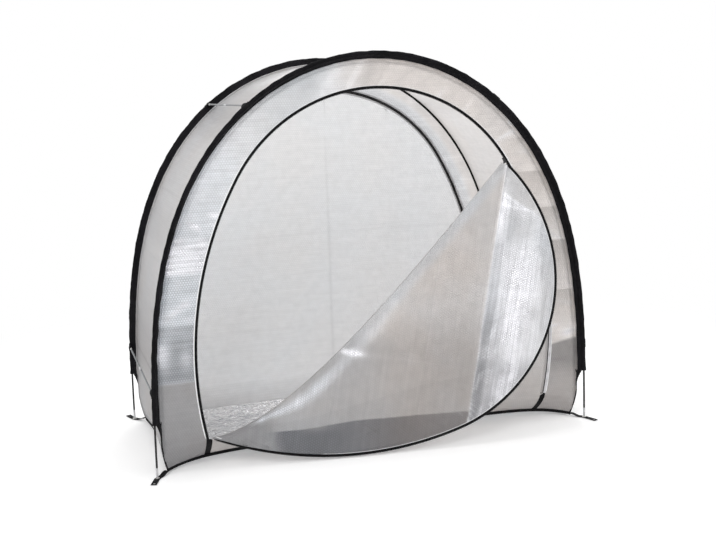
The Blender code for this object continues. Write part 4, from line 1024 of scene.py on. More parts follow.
def flapRightPaintedLight(a, b, right):  # the part beyond the crease, painted as silver sheen with bands and patches of painted shade
    slant = a + flapPaint["slope"] * (b - 1.285)
    rows = smooth(ripple(b, a * 0.10, 63, 0.045, 9), -0.2, 1.4)
    wide = smooth(ripple(b, a * 0.25, 65, 0.13), 0.0, 1.4)
    # streaks of painted shade across the lower part
    shadeStreaks = smooth(ripple(b, a * 0.06, 68, 0.0125, 9), -0.3, 1.1) * smooth(ripple(b, a, 69, 0.11), -0.6, 0.8)
    shadeStreakZone = smooth(0.03 - a, 0.0, 0.2) * band(b, 1.30, 1.40, 0.03) + smooth(-0.22 - a, 0.0, 0.12)
    # blotches of painted light and shade
    blotchyLight = smooth(ripple(b, a * 0.8, 66, 0.16), 0.3, 1.5)
    upper = smooth(slant, flapPaint["paleFrom"], flapPaint["paleFrom"] + 0.008)  # the end under the slider, painted greyer and duller
    above = smooth(a, flapPaint["middleFrom"], flapPaint["middleFrom"] + 0.008)
    edge = smooth(b + 0.15 * a, 1.558, 1.576)
    # a violet-grey band of painted shade beside the crease
    violet = band(b, 1.306, 1.348, 0.004) * smooth(0.27 - a, 0.0, 0.03)
    # painted highlight lines along the edges of the painted zones
    seam = foldLines(slant, ((flapPaint["paleFrom"] + 0.004, 1),), 0.004)
    seam = seam + foldLines(a, ((flapPaint["middleFrom"] + 0.004, 1),), 0.004)
    seam = seam * right * smooth(1.55 - b, 0.0, 0.03)
    bright, patch = spots(a, b, flapPaint["bright"]), spots(a, b, flapPaint["patch"]) * (1 - above) * (1 - edge)
    middle = above * (1 - upper)
    paintedSheen = flapPaint["rightPaintedSheen"] + bright + 0.14 * (rows - 0.5) - 0.25 * edge - 0.28 * upper
    paintedSheen = paintedSheen + 0.10 * middle - 0.30 * patch
    shade = 0.20 * violet + 0.14 * edge + 0.12 * upper + 0.05 * middle + 0.16 * patch + 0.10 * blotchyLight + 0.05 * wide
    shade = shade + 0.30 * (1 - shadeStreaks) * np.clip(shadeStreakZone, 0, 1) - 0.40 * bright + 0.14 * smooth(-0.25 - a, 0.0, 0.1)
    warmth = flapPaint["rightWarmth"] + 0.10 * upper - 0.06 * violet + 0.10 * patch
    return [paintedSheen, warmth, shade], seam, rows, blotchyLight


def flapLeftPaintedLight(x, z, a, b, away, rows, blotchyLight):  # the matte part, with a painted highlight streak along the fold and painted shade lower down
    course = away - 0.014 - 0.070 * smooth(x, -0.62, -0.34)  # the streak leaves the fold as it climbs
    streak = np.exp(-(course / (0.016 + 0.024 * smooth(x, -0.62, -0.30))) ** 2) * smooth(x, -0.63, -0.57)
    streak = streak * (1 - 0.62 * smooth(x, -0.36, -0.12)) * (1 - smooth(x, -0.05, 0.18)) * (0.80 + 0.20 * rows)
    sweep = spots(x, z, flapPaint["sweep"])
    # a violet band of painted shade along the bottom, with thin painted glints across it
    top = flap["lowBand"] - 0.022 * smooth(-x, 0.08, 0.45)
    below = smooth(top - z, 0.0, 0.006) * smooth(x, -0.57, -0.47)
    creaseGlint = np.maximum(creases(a, b, 67, flapPaint["creaseGlints"], 0.0028, 0.05), 0) * below
    pale = smooth(0.11 - away, 0.0, 0.08) * smooth(z, 0.35, 0.7)
    tail = 1 - smooth(x, -0.60, -0.46)
    lowLine = smooth(0.178 + 0.155 * smooth(x, -0.6, 0.5) - z, 0.0, 0.006)
    faint = foldLines(a, ((-0.348, 1),), 0.004) * band(b, 0.80, 1.30, 0.05) * (0.4 + 0.6 * blotchyLight)
    blush = spots(x, z, flapPaint["blush"]) * below
    paintedSheen = flapPaint["leftPaintedSheen"] + 0.62 * streak + 0.95 * sweep + 0.10 * pale + 0.10 * blotchyLight * (1 - below)
    paintedSheen = paintedSheen + 0.25 * creaseGlint + 0.2 * faint
    # painted shade, darker lower down and at the left tail, lighter along the painted streak
    shade = flapPaint["leftShade"] + 0.25 * smooth(0.68 - z, 0.0, 0.26) + 0.06 * smooth(x, 0.0, 0.35)
    shade = shade + 0.04 * lowLine
    shade = shade + (0.38 - 0.10 * smooth(x, 0.0, 0.3)) * below + 0.24 * tail * (1 - streak) - 0.34 * streak
    shade = shade - 0.5 * sweep - 0.12 * blush - 0.15 * creaseGlint + 0.02 * (1 - rows) - 0.10 * faint
    shade = shade + 0.04 * smooth(0.055 - away, 0.0, 0.03)
    warmth = flapPaint["leftWarmth"] - 0.40 * pale - 0.34 * smooth(-x, -0.10, 0.4) + 0.3 * blush - 0.5 * streak
    return [paintedSheen, warmth - 0.30 * below * smooth(-x, -0.1, 0.3), shade]


def flapPaintedLight(x, z, a, b, away):
    right = smooth(b, flap["crease"] - 0.003, flap["crease"] + 0.005)
    silver, seam, rows, blotchyLight = flapRightPaintedLight(a, b, right)
    matte = flapLeftPaintedLight(x, z, a, b, away, rows, blotchyLight)
    paintedSheen, warmth, shade = (between(left, other, right) for left, other in zip(matte, silver))
    # a painted highlight line along the crease
    crease = np.exp(-np.abs(b - flap["crease"]) / 0.0032)
    return sheenTintShadeOf(paintedSheen + 0.4 * crease + 0.3 * seam, warmth, shade - 0.2 * crease - 0.15 * seam)


def flapRelief(a, b, v):  # kept still at the fold and at the zip
    relief = flap["wave"] * ripple(a, b, 61, 0.50)
    relief = relief + flap["creaseDepth"] * foldLines(b, flap["packHeights"], flap["creaseWidth"])
    relief = relief + 0.6 * flap["creaseDepth"] * foldLines(a, flap["packSides"], flap["creaseWidth"])
    relief = relief + flap["dentDepth"] * creases(a, b, 62, flap["dents"], 0.008, 0.14)
    soft = smooth(v, 0.02, 0.20) * smooth(1 - v, 0.0, 0.10)
    return (np.maximum(relief, -flap["stand"]) + flap["stand"]) * soft


def flapRoll(edge):  # the film's turn over the fold, from the fixed half to the free one
    tangent = np.gradient(edge, axis=0)
    tangent = tangent / np.linalg.norm(tangent, axis=1, keepdims=True)
    away = gridOf(-tangent[:, 1], 0.0, tangent[:, 0])  # up and left, off the fixed half
    turn = np.linspace(0.0, math.pi, flap["rollColumns"], endpoint=False)[None, :, None]
    centre = gridOf(edge[:, 0], -wallOffset - fold["standoff"], edge[:, 1])
    inward = np.array([0.0, 1.0, 0.0])
    return centre[:, None, :] + fold["standoff"] * (np.sin(turn) * away[:, None, :] + np.cos(turn) * inward)


def flapFilm():
    grid, flat, edge = flapShape()
    v = evenRow(flap["columns"])
    x, z = grid[..., 0].copy(), grid[..., 2].copy()
    shut = closed(grid)
    a, b = shut[..., 0], shut[..., 2]  # the same points with the door closed
    grid[..., 1] -= arch(v, 2) * flapCrease(x, z) + flapRelief(a, b, v)
    shutFlat = gridOf(a, b)
    part = np.linspace(0.0, 1.0, flap["rollColumns"], endpoint=False)[None, :, None]
    rollFlat = between(edge[:, None, :], shutFlat[:, :1], part)
    finishAndPaintedLight = flapPaintedLight(x, z, a, b, np.linalg.norm(grid - grid[:, :1], axis=2))
    # the roll takes the fixed half's painted light, with little painted sheen
    rollPaintedLight = between(frontDoorPaintedLight(rollFlat[..., 0], rollFlat[..., 1]), finishAndPaintedLight[:, :1] * (0.2, 1.0, 1.0), part)
    film = addSheet("flapFilm", np.concatenate([flapRoll(edge), grid], axis=1), flap["thickness"], filmCloth,
                    np.concatenate([rollFlat, shutFlat], axis=1), np.concatenate([rollPaintedLight, finishAndPaintedLight], axis=1))
    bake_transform(film)
    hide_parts("front_flap")


flapFilm()
print("open door half ready")


# Floor: crushed foil with its border turned up to the hem

floorFoil = {
    "rows": 150, "columns": 320, "border": 0.070, "level": 0.0012, "thickness": 0.0016,
    "crush": 0.0077, "size": 0.075, "wave": 0.0012,
    "dark": (0.84, 0.85, 0.87), "light": (0.95, 0.95, 0.96), "metal": 0.80, "rough": (0.14, 0.28),
    "patchScale": 14.0, "fineScale": 55.0, "crinkleScale": 21.0, "bump": 0.007,
}


def foilFinish():
    made, tree, shader = newMaterial("silverFoil")
    place = objectPlace(tree)
    patches, fine = mottled(place, floorFoil["patchScale"]), mottled(place, floorFoil["fineScale"])
    crinkle = useGroup(filmCrinkle, Place=place, Scale=floorFoil["crinkleScale"])
    fill(shader, {"Base Color": mixOf(patches, floorFoil["dark"], floorFoil["light"]),
                  "Metallic": floorFoil["metal"], "Roughness": rangeOf(patches, *floorFoil["rough"])})
    bumpOf(shader, plus(times(crinkle["Height"], 0.5), fine), 1.0, floorFoil["bump"])
    return made


def hemDepthAt(hollow):  # how far the sides' lower edge stands in from the poles
    return 0.002 + hollow * (tent["roofSag"] * tent["hem"] / tent["height"] + tent["sideBow"])


def floorPiece():
    clear = tent["hemThickness"] / 2 + 0.0003
    v = np.linspace(-1.0, 1.0, floorFoil["rows"])[:, None]
    u = np.linspace(-1.0, 1.0, floorFoil["columns"])[None, :]
    depth = hemDepthAt(1 - v ** 2)
    sideX = np.abs(coverEdge(np.full_like(v, poleAt(tent["hem"])), depth)[0]) - clear
    frontX = u * float(np.max(sideX))
    endY = wallOffset - wallInset(frontX, hemLine(frontX)) - clear - 0.001
    x, y = u * sideX, v * endY
    inX, inY = (np.clip((edge - np.abs(at)) / floorFoil["border"], 0.0, 1.0)
                for edge, at in ((sideX, x), (endY, y)))
    inside = np.minimum(inX, inY)
    top = hemLine(frontX) + 0.0015
    crush = crumple(gridOf(x, y, 0.0), floorFoil["size"], 5) * floorFoil["crush"]
    crush = crush + floorFoil["wave"] * (1 + ripple(x, y, 71, 0.2))
    height = floorFoil["level"] + (1 - inside) ** 1.5 * (top - floorFoil["level"])
    height = height + np.maximum(crush, 0) * (0.25 + 0.75 * smooth(inside, 0.0, 0.5))
    flat = gridOf(x, y)
    foil = addSheet("floorFoil", gridOf(x, y, np.minimum(height, np.maximum(top, 0.012))), floorFoil["thickness"],
                    foilFinish(), flat)
    ownPiece(foil, "tent", "silver_foil", "floor_sheet")


floorPiece()
print("floor ready")


# Woven sleeves round the poles, their seam strips and the struts' pockets

sleeveShape = {
    "rows": 460, "radius": 0.0094, "bore": 0.0071, "reach": 0.0374, "fin": 0.0013,
    "wrinkle": 0.0013, "finWave": 0.0010, "hemLength": 0.016, "hemSize": 0.0009,
    "arcPoints": 15, "cloth": 0.095,
    "flankU": (0.0115, 0.0165, 0.0235, 0.0310), "flankW": (0.0052, 0.0027, 0.0016, 0.0013),
}
seamWelt = {
    "rows": 520, "sheet": 0.0012, "finEnd": 0.0378, "wide": 0.0065, "waver": 0.0010, "uneven": 0.12,
    "roofCover": 0.0045, "footCover": 0.0050, "leftCover": 0.0160, "rightCover": 0.0065,
}
seamTape = {"rows": 460, "wide": 0.0110, "thickness": 0.0012, "lowest": 0.10, "clear": 0.0011}
cornerEdge = {
    "rows": 46, "wide": 0.0200, "narrow": 0.0020, "tail": 0.070, "taper": 1.6, "inner": 0.0045,
    "thickness": 0.0016, "stand": 0.85, "cloth": 0.010,
}


def sleeveOutline():  # u runs from the pole to the seam, w across it
    arc = np.radians(np.linspace(68.0, 292.0, sleeveShape["arcPoints"]))
    u, w = np.array([sleeveShape["flankU"], sleeveShape["flankW"]])
    radius, reach, fin = (sleeveShape[k] for k in ("radius", "reach", "fin"))
    return (np.concatenate([radius * np.cos(arc), u, [reach, reach], u[::-1]]),
            np.concatenate([radius * np.sin(arc), -w, [-fin, fin], w[::-1]]))


def roundPole(s, u, w, facing):  # points beside the pole of that end wall
    x, z = onPole(s + 0 * u, -diagonal * (u - w))
    return gridOf(x, facing * (tent["depth"] / 2 - diagonal * (u + w)), z)


def sleevePiece(name, node, facing, seed):
    start = poleAt(tent["sleeveEnd"])
    s = np.linspace(start, 1.0 - start, sleeveShape["rows"])[:, None]
    u, w = (values[None, :] for values in sleeveOutline())
    run = (s - start) * poleLength
    fromEnd = np.minimum(run, run[-1] - run)
    turn = np.arctan2(w, u)
    amount = sleeveShape["wrinkle"] * (ripple(run, turn * 0.018, seed, 0.055, 9) * 0.7
                                       + creases(run, turn * 0.012, seed + 1, 120, 0.004, 0.02) * 0.8)
    amount = amount + sleeveShape["hemSize"] * smooth(sleeveShape["hemLength"] - fromEnd, 0.0, 0.002)
    grow = 1 + amount * smooth(-u, -0.030, 0.006) / np.hypot(u, w)  # the fin's sewn edge stays still
    wave = sleeveShape["finWave"] * ripple(run, 0 * run, seed + 2, 0.045, 6) * np.exp(-((u - 0.024) / 0.008) ** 2)
    bore = sleeveShape["bore"] * np.cos(turn), sleeveShape["bore"] * np.sin(turn)
    verts, faces = shellOf(roundPole(s, u * grow, w * grow + wave, facing), roundPole(s, *bore, facing))
    one = gridOf(run, runOf(u[0], w[0])[None, :]).reshape(-1, 2)
    sleeve = addMesh(name, verts, faces, sleeveCloth, np.concatenate([one, one]), sharp=60.0)
    ownPiece(sleeve, "tent", "black_fabric", node)
    return sleeve, float(run[-1, 0])


def seamStrip(name, facing, upper):  # the film's welt, from the fin of the sleeve over the film's edge
    start = poleAt(tent["hem"] + 0.002)
    s = np.linspace(start, 1.0 - start, seamWelt["rows"])[:, None]
    z = onPole(s)[1]
    tucked = tent["tuck"] * skirt(z)
    v, back = evenRow(5), np.linspace(1.0, 0.15, 5)[None, :]
    run = s * poleLength
    wide = seamWelt["wide"] + seamWelt["waver"] * ripple(run, 0 * s, 81 + facing, 0.12, 5)
    onLeft = between(seamWelt["footCover"], seamWelt["leftCover"], smooth(z, 0.26, 0.56))
    reach = seamWelt["roofCover"] if upper else between(onLeft, seamWelt["rightCover"], smooth(s, 0.26, 0.42))
    reach = reach * (1 + seamWelt["uneven"] * ripple(run, 0 * s, 85 + facing, 0.09, 5))
    reach = reach * smooth(z, tent["sleeveEnd"] - 0.004, tent["sleeveEnd"] + 0.004)
    u, w = seamWelt["finEnd"] - reach * back, (1 if upper else -1) * (sleeveShape["fin"] + 0.0011 + 0.0012 * back)
    x, height = onPole(s + 0 * u, -diagonal * (u - w) - tucked)
    onFin = gridOf(x, facing * (tent["depth"] / 2 - diagonal * (u + w) - tucked), height)
    if upper:
        x, height = onPole(s + 0 * v, -seamInset + 0.0012 + 0.0006 * np.sin(v * math.pi) - tucked)
        onFilm = gridOf(x, facing * (wallOffset + tent["film"] / 2 + 0.0006 - wide * v - tucked), height)
        grid = np.concatenate([onFin, onFilm], axis=1)
        flat = gridOf(np.concatenate([reach * (1 - back), reach + wide * v], axis=1), run)
        # the welt takes the roof's painted sheen and painted shade
        finishAndPaintedLight = sheenTintShadeOf(roof["paintedSheen"], roof["outerWarmth"], roofShade(grid[..., 2]))
    else:
        x, height = coverEdge(s + 0 * v, -0.0008 + wide * v)
        lift = 0.0011 + 0.0008 * np.sin(v * math.pi) + 0.0004 * ripple(run, v * 0.01, 83, 0.05, 5)
        grid = np.concatenate([onFin, wallPoint(x, height, facing, tent["film"] / 2 + lift)], axis=1)
        # the welt takes the wall's painted light
        flat, finishAndPaintedLight = grid[..., ::2], borderPaintedLight(facing, grid[..., 0], grid[..., 2], 0.0)
    return ownPiece(addSheet(name, grid, seamWelt["sheet"], filmCloth, flat, finishAndPaintedLight), "tent", "bubble_film")


def innerBinding(name, facing):  # black tape over the seam between roof and wall, inside
    start = poleAt(seamTape["lowest"])
    s = np.linspace(start, 1.0 - start, seamTape["rows"])[:, None]
    across = seamTape["wide"] * evenRow(4)
    x, z = coverEdge(s + 0 * across, tent["film"] + 0.0016 + across)
    grid = wallPoint(x, z, facing, -tent["film"] / 2 - seamTape["clear"])
    tape = addSheet(name, grid, seamTape["thickness"], bindingCloth, gridOf(s * poleLength, across))
    return ownPiece(tape, "tent", "black_fabric")


def cornerBinding(name, hand, facing):  # black edge from the sleeve's end down to the hem's corner
    heights = np.linspace(tent["sleeveEnd"] + 0.004, tent["hem"] - 0.004, cornerEdge["rows"])
    s = np.array([poleAt(h) for h in heights])[:, None]
    v = evenRow(7)
    run = tent["sleeveEnd"] - heights[:, None]
    left = 1 - np.clip(run / cornerEdge["tail"], 0.0, 1.0)
    outer = cornerEdge["wide"] * left ** cornerEdge["taper"] + cornerEdge["narrow"]
    inset = -seamInset - tent["tuck"] * skirt(heights[:, None])
    x, z = onPole(s + 0 * v, inset + outer * (1 - v) - cornerEdge["inner"] * v)
    lift = tent["film"] / 2 + cornerEdge["thickness"] + cornerEdge["stand"] * outer * (1 - v) ** 2
    grid = gridOf(hand * np.abs(x), facing * (wallOffset - wallInset(x, z) + lift), z)
    edging = addSheet(name, grid, cornerEdge["thickness"], bindingCloth, gridOf(run, cornerEdge["cloth"] * v))
    return ownPiece(edging, "tent", "black_fabric")


strut = {
    "lowHeight": 0.382, "highDrop": 0.212, "offset": 0.005, "tipRadius": 0.0049,
    "pocketStops": (0.0030, 0.0060, 0.0140, 0.0240, 0.0300, 0.0320, 0.0325),
    "pocketRadii": (0.0070, 0.0086, 0.0082, 0.0079, 0.0082, 0.0082, 0.0074),
    "pocketTall": 1.8, "bandRadius": 0.0113, "bandHalf": 0.019, "bandBore": 0.87,
}


def strutPlaces():
    for height in (strut["lowHeight"], tent["height"] - strut["highDrop"]):
        for s in (poleAt(height), 1.0 - poleAt(height)):
            yield s, *(float(value) for value in onPole(s, strut["offset"]))


def pocketTube(s, x, z, facing):  # a flat pocket, tall along the pole, with a round bore
    turn = np.linspace(0, 2 * math.pi, 20, endpoint=False)[None, :]
    stops, radius = np.array(strut["pocketStops"])[:, None], np.array(strut["pocketRadii"])[:, None]
    radius = radius * (1 + 0.05 * ripple(stops, turn * 0.01, int(s * 100) + facing, 0.012, 5))
    along = np.array(onPole(s + 1e-4)) - np.array(onPole(s - 1e-4))
    along = along / np.linalg.norm(along)
    rings = []
    for size, tall in ((radius, strut["pocketTall"]), (strut["tipRadius"] + 0.0004, 1.0)):
        out, up = size * np.cos(turn), tall * size * np.sin(turn)
        rings.append(gridOf(x - out * along[1] + up * along[0], facing * (tent["depth"] / 2 - stops),
                            z + out * along[0] + up * along[1]))
    one = gridOf(stops, turn * 0.008).reshape(-1, 2)
    return *shellOf(*rings), np.concatenate([one, one])


def pocketBand(s, facing):  # flat band that holds a pocket to the sleeve
    half = strut["bandHalf"] / poleLength
    stops = np.linspace(s - half, s + half, 13)[:, None]
    arc = np.radians(np.linspace(50.0, 310.0, 19))
    outer = strut["bandRadius"] * np.array([np.cos(arc), np.sin(arc)])
    loop = np.concatenate([roundPole(stops, *outer, facing),
                           roundPole(stops, *(outer * strut["bandBore"]), facing)[:, ::-1]], axis=1)
    flat = gridOf((stops - s) * poleLength, np.arange(loop.shape[1])[None, :] * 0.002)
    return *barOf(loop), flat.reshape(-1, 2)


def pocketPieces(side, facing):
    verts, faces, flats = [], [], []
    for s, x, z in strutPlaces():
        for piece, quads, flat in (pocketTube(s, x, z, facing), pocketBand(s, facing)):
            base = sum(len(p) for p in verts)
            verts.append(piece)
            faces += [[i + base for i in face] for face in quads]
            flats.append(flat)
    made = addMesh(side + "StrutPockets", np.concatenate(verts), faces, bindingCloth, np.concatenate(flats))
    return ownPiece(made, "tent", "black_fabric")


for side, facing, seed in (("front", -1, 91), ("back", 1, 96)):
    sleeve, length = sleevePiece(side + "Sleeve", side + "_sleeve", facing, seed)
    pieces = [pocketPieces(side, facing), seamStrip(side + "WallWelt", facing, False),
              seamStrip(side + "RoofWelt", facing, True), innerBinding(side + "SeamBinding", facing)]
    for hand, word in ((-1, "Left"), (1, "Right")):
        cornerBinding(side + "Corner" + word, hand, facing)
print("sleeves ready")


# Zips: tapes with thread rows, teeth, and a white cord along the film's edge

zipLook = {
    "tape": 0.0016, "pitch": 0.0034, "tooth": (0.0014, 0.0032, 0.0022), "cord": 0.0026,
    "coil": 0.0018, "lift": 0.0006, "lap": 0.0008, "coverEnds": (0.126, 0.505), "stop": 0.004,
    "frameCover": (0.0026, 0.0136), "doorCover": (-0.0028, -0.0140), "innerBand": (0.0068, 0.0138),
    "samples": 420, "openSamples": 460, "legRows": 16, "teethIn": 0.0010, "firstTooth": 0.012,
    "cordTip": 0.35, "cordTaper": 0.02, "pipingOut": 0.0020, "openPipingOut": 0.0018,
    "openCord": (0.38, 0.45), "openFoot": (0.16, 0.10), "crownCord": (0.30, 0.70), "crownEdge": (0.75, 1.05),
}
zipEnd = zipLength - zipLook["stop"]


def tapeGrid(run, near, far, columns=5):
    v = evenRow(columns)
    x, z = onZip(run[:, None] + 0 * v, between(near, far, v))
    return x, z, gridOf(run[:, None], abs(far - near) * v)


def zipWays(run, facing):  # out of the door, along the zip and off the wall
    angle = np.interp(run, zipRun, zipAngle)
    return (gridOf(np.sin(angle), 0.0, np.cos(angle)), gridOf(np.cos(angle), 0.0, -np.sin(angle)),
            np.tile([0.0, float(facing), 0.0], (len(run), 1)))


def turnedOpen(centre, *ways):  # the same on the open half of the door
    return opened(centre), *(way @ openTurn.T for way in ways)


def frameTape(side, facing):
    middle = tapeGrid(np.linspace(0.0, zipLength, 520), tent["zipSlot"] / 2, tapeEdge)
    v, level = evenRow(5), np.linspace(0.0, 1.0, zipLook["legRows"])[:, None]
    near = between(-tapeEdge, tent["zipSlot"] / 2, smooth(level, 0.955, 1.0))
    legs = []
    for hand in (-1, 1):
        legX = zipFoot(hand) + hand * between(near, tapeEdge, v)
        legZ = between(hemLine(zipFoot(hand)) + 0.0004, tent["sill"] - 0.0015, level) + 0 * v
        legs.append((legX, legZ, gridOf(legZ - tent["sill"], (tapeEdge - near) * v)))
    x, z, flat = (np.concatenate([left, top, right[::-1]]) for left, top, right in zip(legs[0], middle, legs[1]))
    grid = wallPoint(x, z, facing, zipLook["lift"])
    tape = addSheet(side + "ZipFrameTape", grid, zipLook["tape"], tapeCloth, flat)
    return ownPiece(tape, "tent", "black_fabric", side + "_zip_frame_tape")


def doorTape(side, facing, start):
    x, z, flat = tapeGrid(np.linspace(start, zipLength, zipLook["samples"]), -tent["zipSlot"] / 2, -tapeEdge)
    grid = wallPoint(x, z, facing, zipLook["lift"])
    tape = addSheet(side + "ZipDoorTape", grid, zipLook["tape"], tapeCloth, flat)
    return ownPiece(tape, "tent", "black_fabric", side + "_zip_door_tape")


def teethAlong(name, start, end, hand, facing, offset, body):
    run = np.arange(math.ceil(start / zipLook["pitch"]), end / zipLook["pitch"]) * zipLook["pitch"] + offset
    run = run[run < end - 0.001]
    x, z = onZip(run, hand * zipLook["teethIn"])
    out, along, up = zipWays(run, facing)
    centre, out = gridOf(x, facing * (wallOffset + zipLook["lift"] * 0.5), z), hand * out
    if body == "door_flap":
        centre, out, along, up = turnedOpen(centre, out, along, up)
    verts, faces = blocksOf(centre, along, out, up, zipLook["tooth"])
    return ownPiece(addMesh(name, verts, faces, toothPlastic, sharp=30.0), body, "black_fabric")


def edgeCord(name, start, end, outward, facing, lift, body, black=False):
    run = np.linspace(start, end, zipLook["samples"])
    x, z = onZip(run, outward)
    path, (side, _, up) = gridOf(x, facing * wallOffset + lift, z), zipWays(run, facing)
    tips = zipLook["cordTip"] + np.minimum(run - start, end - run) / zipLook["cordTaper"]
    radius = zipLook["coil" if black else "cord"] * np.minimum(1.0, tips)
    if body == "door_flap":  # thick at the foot of the open half
        path, side, up = turnedOpen(path, side, up)
        (thin, more), (foot, soft) = zipLook["openCord"], zipLook["openFoot"]
        radius = radius * (thin + more * smooth(start + foot - run, 0.0, soft))
    elif not black:  # the cord shows most down the legs
        thin, more = zipLook["crownCord"]
        away = np.abs(np.interp(run, zipRun, zipAngle))
        radius = radius * (thin + more * smooth(away, *zipLook["crownEdge"]))
    surface, slot = (toothPlastic, "black_fabric") if black else (pipingPlastic, "bubble_film")
    return ownPiece(addCord(name, path, side, up, radius, surface), body, slot)


def zipLap(name, run, edges, facing, lift, surface, paint=None):  # film that laps over a tape, with the wall's painted light where given
    x, z, flat = tapeGrid(run, *edges, 3)
    flat = gridOf(x, z) if facing > 0 else flat
    lap = addSheet(name, wallPoint(x, z, facing, lift), zipLook["lap"], surface, flat,
                   None if paint is None else paint(x, z))
    return ownPiece(lap, "tent", "bubble_film")


def frontLaps():  # outside, where the zip is shut, low on the right
    run = np.linspace(sliderRun, zipEnd, 400)
    height, (low, high) = onZip(run)[1], zipLook["coverEnds"]
    run, lift = run[(height > low) & (height < high)], zipLook["lift"] + zipLook["tape"]
    return (zipLap("zipCoverFrame", run, zipLook["frameCover"], -1, lift, zipCoverFilm),
            zipLap("zipCoverDoor", run, zipLook["doorCover"], -1, lift, filmCloth, frontDoorPaintedLight))


def backLaps():  # inside, all along the back zip
    run, band = np.linspace(0.02, zipLength - 0.02, zipLook["samples"]), np.array(zipLook["innerBand"])
    lift = -zipLook["tape"]
    return (zipLap("zipLapFrame", run, band, 1, lift, filmCloth, lambda x, z: backBorderPaintedLight(x, z, 1.0)),
            zipLap("zipLapDoor", run, -band, 1, lift, filmCloth, backDoorPaintedLight))


def flapTape(start, end):
    x, z, flat = tapeGrid(np.linspace(start, end, zipLook["openSamples"]), -tent["zipSlot"] / 2, -tapeEdge)
    tape = addSheet("flapZipTape", opened(gridOf(x, -wallOffset, z)), zipLook["tape"], tapeCloth, flat)
    return ownPiece(tape, "door_flap", "black_fabric", "front_flap_tape")


cordLift = tent["film"] / 2 + 0.0006
for side, facing, closedFrom in (("front", -1, sliderRun + fold["clearance"]), ("back", 1, 0.0)):
    tape, other = frameTape(side, facing), doorTape(side, facing, closedFrom)
    inner = teethAlong(side + "ZipTeethFrame", zipLook["firstTooth"], zipEnd, 1, facing, 0.0, "tent")
    outer = teethAlong(side + "ZipTeethDoor", closedFrom + zipLook["stop"], zipEnd, -1, facing,
                       zipLook["pitch"] / 2, "tent")
    coil = edgeCord(side + "ZipCoil", closedFrom, zipEnd, 0.0, facing, 0.0, "tent", black=True)
    white = edgeCord(side + "ZipPiping", zipLook["stop"], zipEnd, filmEdge + zipLook["pipingOut"], facing,
                     facing * cordLift, "tent")
    laps = frontLaps() if side == "front" else backLaps()
start, end = fold["clearance"], sliderRun - fold["clearance"]
tape = flapTape(start, end)
teeth = teethAlong("flapZipTeeth", start + zipLook["stop"], end - zipLook["stop"], -1, -1, zipLook["pitch"] / 2,
                   "door_flap")
white = edgeCord("flapPiping", start, end, -filmEdge - zipLook["openPipingOut"], -1, cordLift, "door_flap")
print("zips ready")


# Hem bindings: folded tape round the film's lower edge

hemShape = {
    "count": 260, "half": 0.0026, "cloth": 0.024,
    "section": ((-0.6, 0.0), (0.6, 0.0), (1.0, -0.12), (1.05, -0.5), (1.0, -0.86), (0.55, -1.0), (-0.55, -1.0),
                (-1.0, -0.86), (-1.05, -0.5), (-1.0, -0.12)),
    "around": (0.0, 0.0, 0.002, 0.008, 0.014, 0.016, 0.016, 0.014, 0.008, 0.002),
}


def hemPiece(name, node, x, y, z, nx, ny):  # nx, ny point inwards
    bulge = hemShape["half"] * (1 + 0.12 * ripple(x + y, z, 101, 0.05, 5))
    rings = np.stack([gridOf(x + nx * a * bulge, y + ny * a * bulge, z - 0.0003 + tent["hemDepth"] * b)
                      for a, b in hemShape["section"]], axis=1)
    run = runOf(x, y)[:, None]
    flat = gridOf(run, np.array(hemShape["around"])[None, :]).reshape(-1, 2)
    hem = addMesh(name, *barOf(rings), bindingCloth, flat)
    ownPiece(hem, "tent", "black_fabric", node)


def hemPieces():
    edgeX = abs(float(coverEdge(poleAt(tent["hem"]), 0.0043)[0]))
    clear = cornerX - 0.0043 - tent["hemThickness"] / 2 + 0.002
    x = np.linspace(-min(edgeX, clear), min(edgeX, clear), hemShape["count"])
    z = hemLine(x)
    y = wallOffset - wallInset(x, z)
    hemPiece("frontHem", "hem_front", x, -y, z, 0, 1)
    hemPiece("backHem", "hem_back", x, y, z, 0, -1)
    v = np.linspace(0.0, 1.0, hemShape["count"])
    sideX, sideZ = coverEdge(np.full_like(v, poleAt(tent["hem"])), hemDepthAt(roofHollow(v)))
    sideY = (wallOffset + 0.002 - tent["tuck"]) * (2 * v - 1)
    hemPiece("leftHem", "hem_left", sideX, sideY, sideZ, 1, 0)
    hemPiece("rightHem", "hem_right", -sideX, sideY, sideZ, -1, 0)


hemPieces()
print("hems ready")


# Corner straps: webbing from the hem to the pole's foot, round the eyelet, to the peg loop

strapShape = {
    "half": 0.0130, "thickness": 0.0017, "lift": 0.0018, "tail": 0.075, "angle": 70.0,
    "eyeletHole": 0.0069, "pegHole": 0.0060, "pegInset": 0.014, "flat": 0.014, "steps": (22, 25, 42),
}


def strapLine(x, y):  # straight to the foot, round it and out to the peg
    hand, end = math.copysign(1, x), math.copysign(1, y)
    hemX = abs(float(coverEdge(poleAt(tent["hem"]), 0.002)[0])) + tent["hemThickness"] / 2
    corner = np.array([hand * hemX, end * (wallOffset + 0.002 - tent["tuck"])])
    foot = np.array([x, y])
    into = (foot - corner) / np.linalg.norm(foot - corner)
    tail = math.radians(strapShape["angle"])
    out = np.array([hand * math.cos(tail), end * math.sin(tail)])
    first, last = corner + into * 0.0008, foot + out * strapShape["tail"]
    a, b = foot - into * strapShape["flat"], foot + out * strapShape["flat"]
    coming, turning, leaving = (np.linspace(0, 1, count) for count in strapShape["steps"])
    steps = [(between(first, a, t), into) for t in coming[:-1]]
    for t in turning[:-1]:
        ahead = between(foot - a, b - foot, t)
        steps.append(((1 - t) ** 2 * a + 2 * t * (1 - t) * foot + t * t * b, ahead / np.linalg.norm(ahead)))
    steps += [(between(b, last, t), out) for t in leaving]
    points, heads = (np.array(values) for values in zip(*steps))
    return points, heads, foot, last - out * strapShape["pegInset"], corner


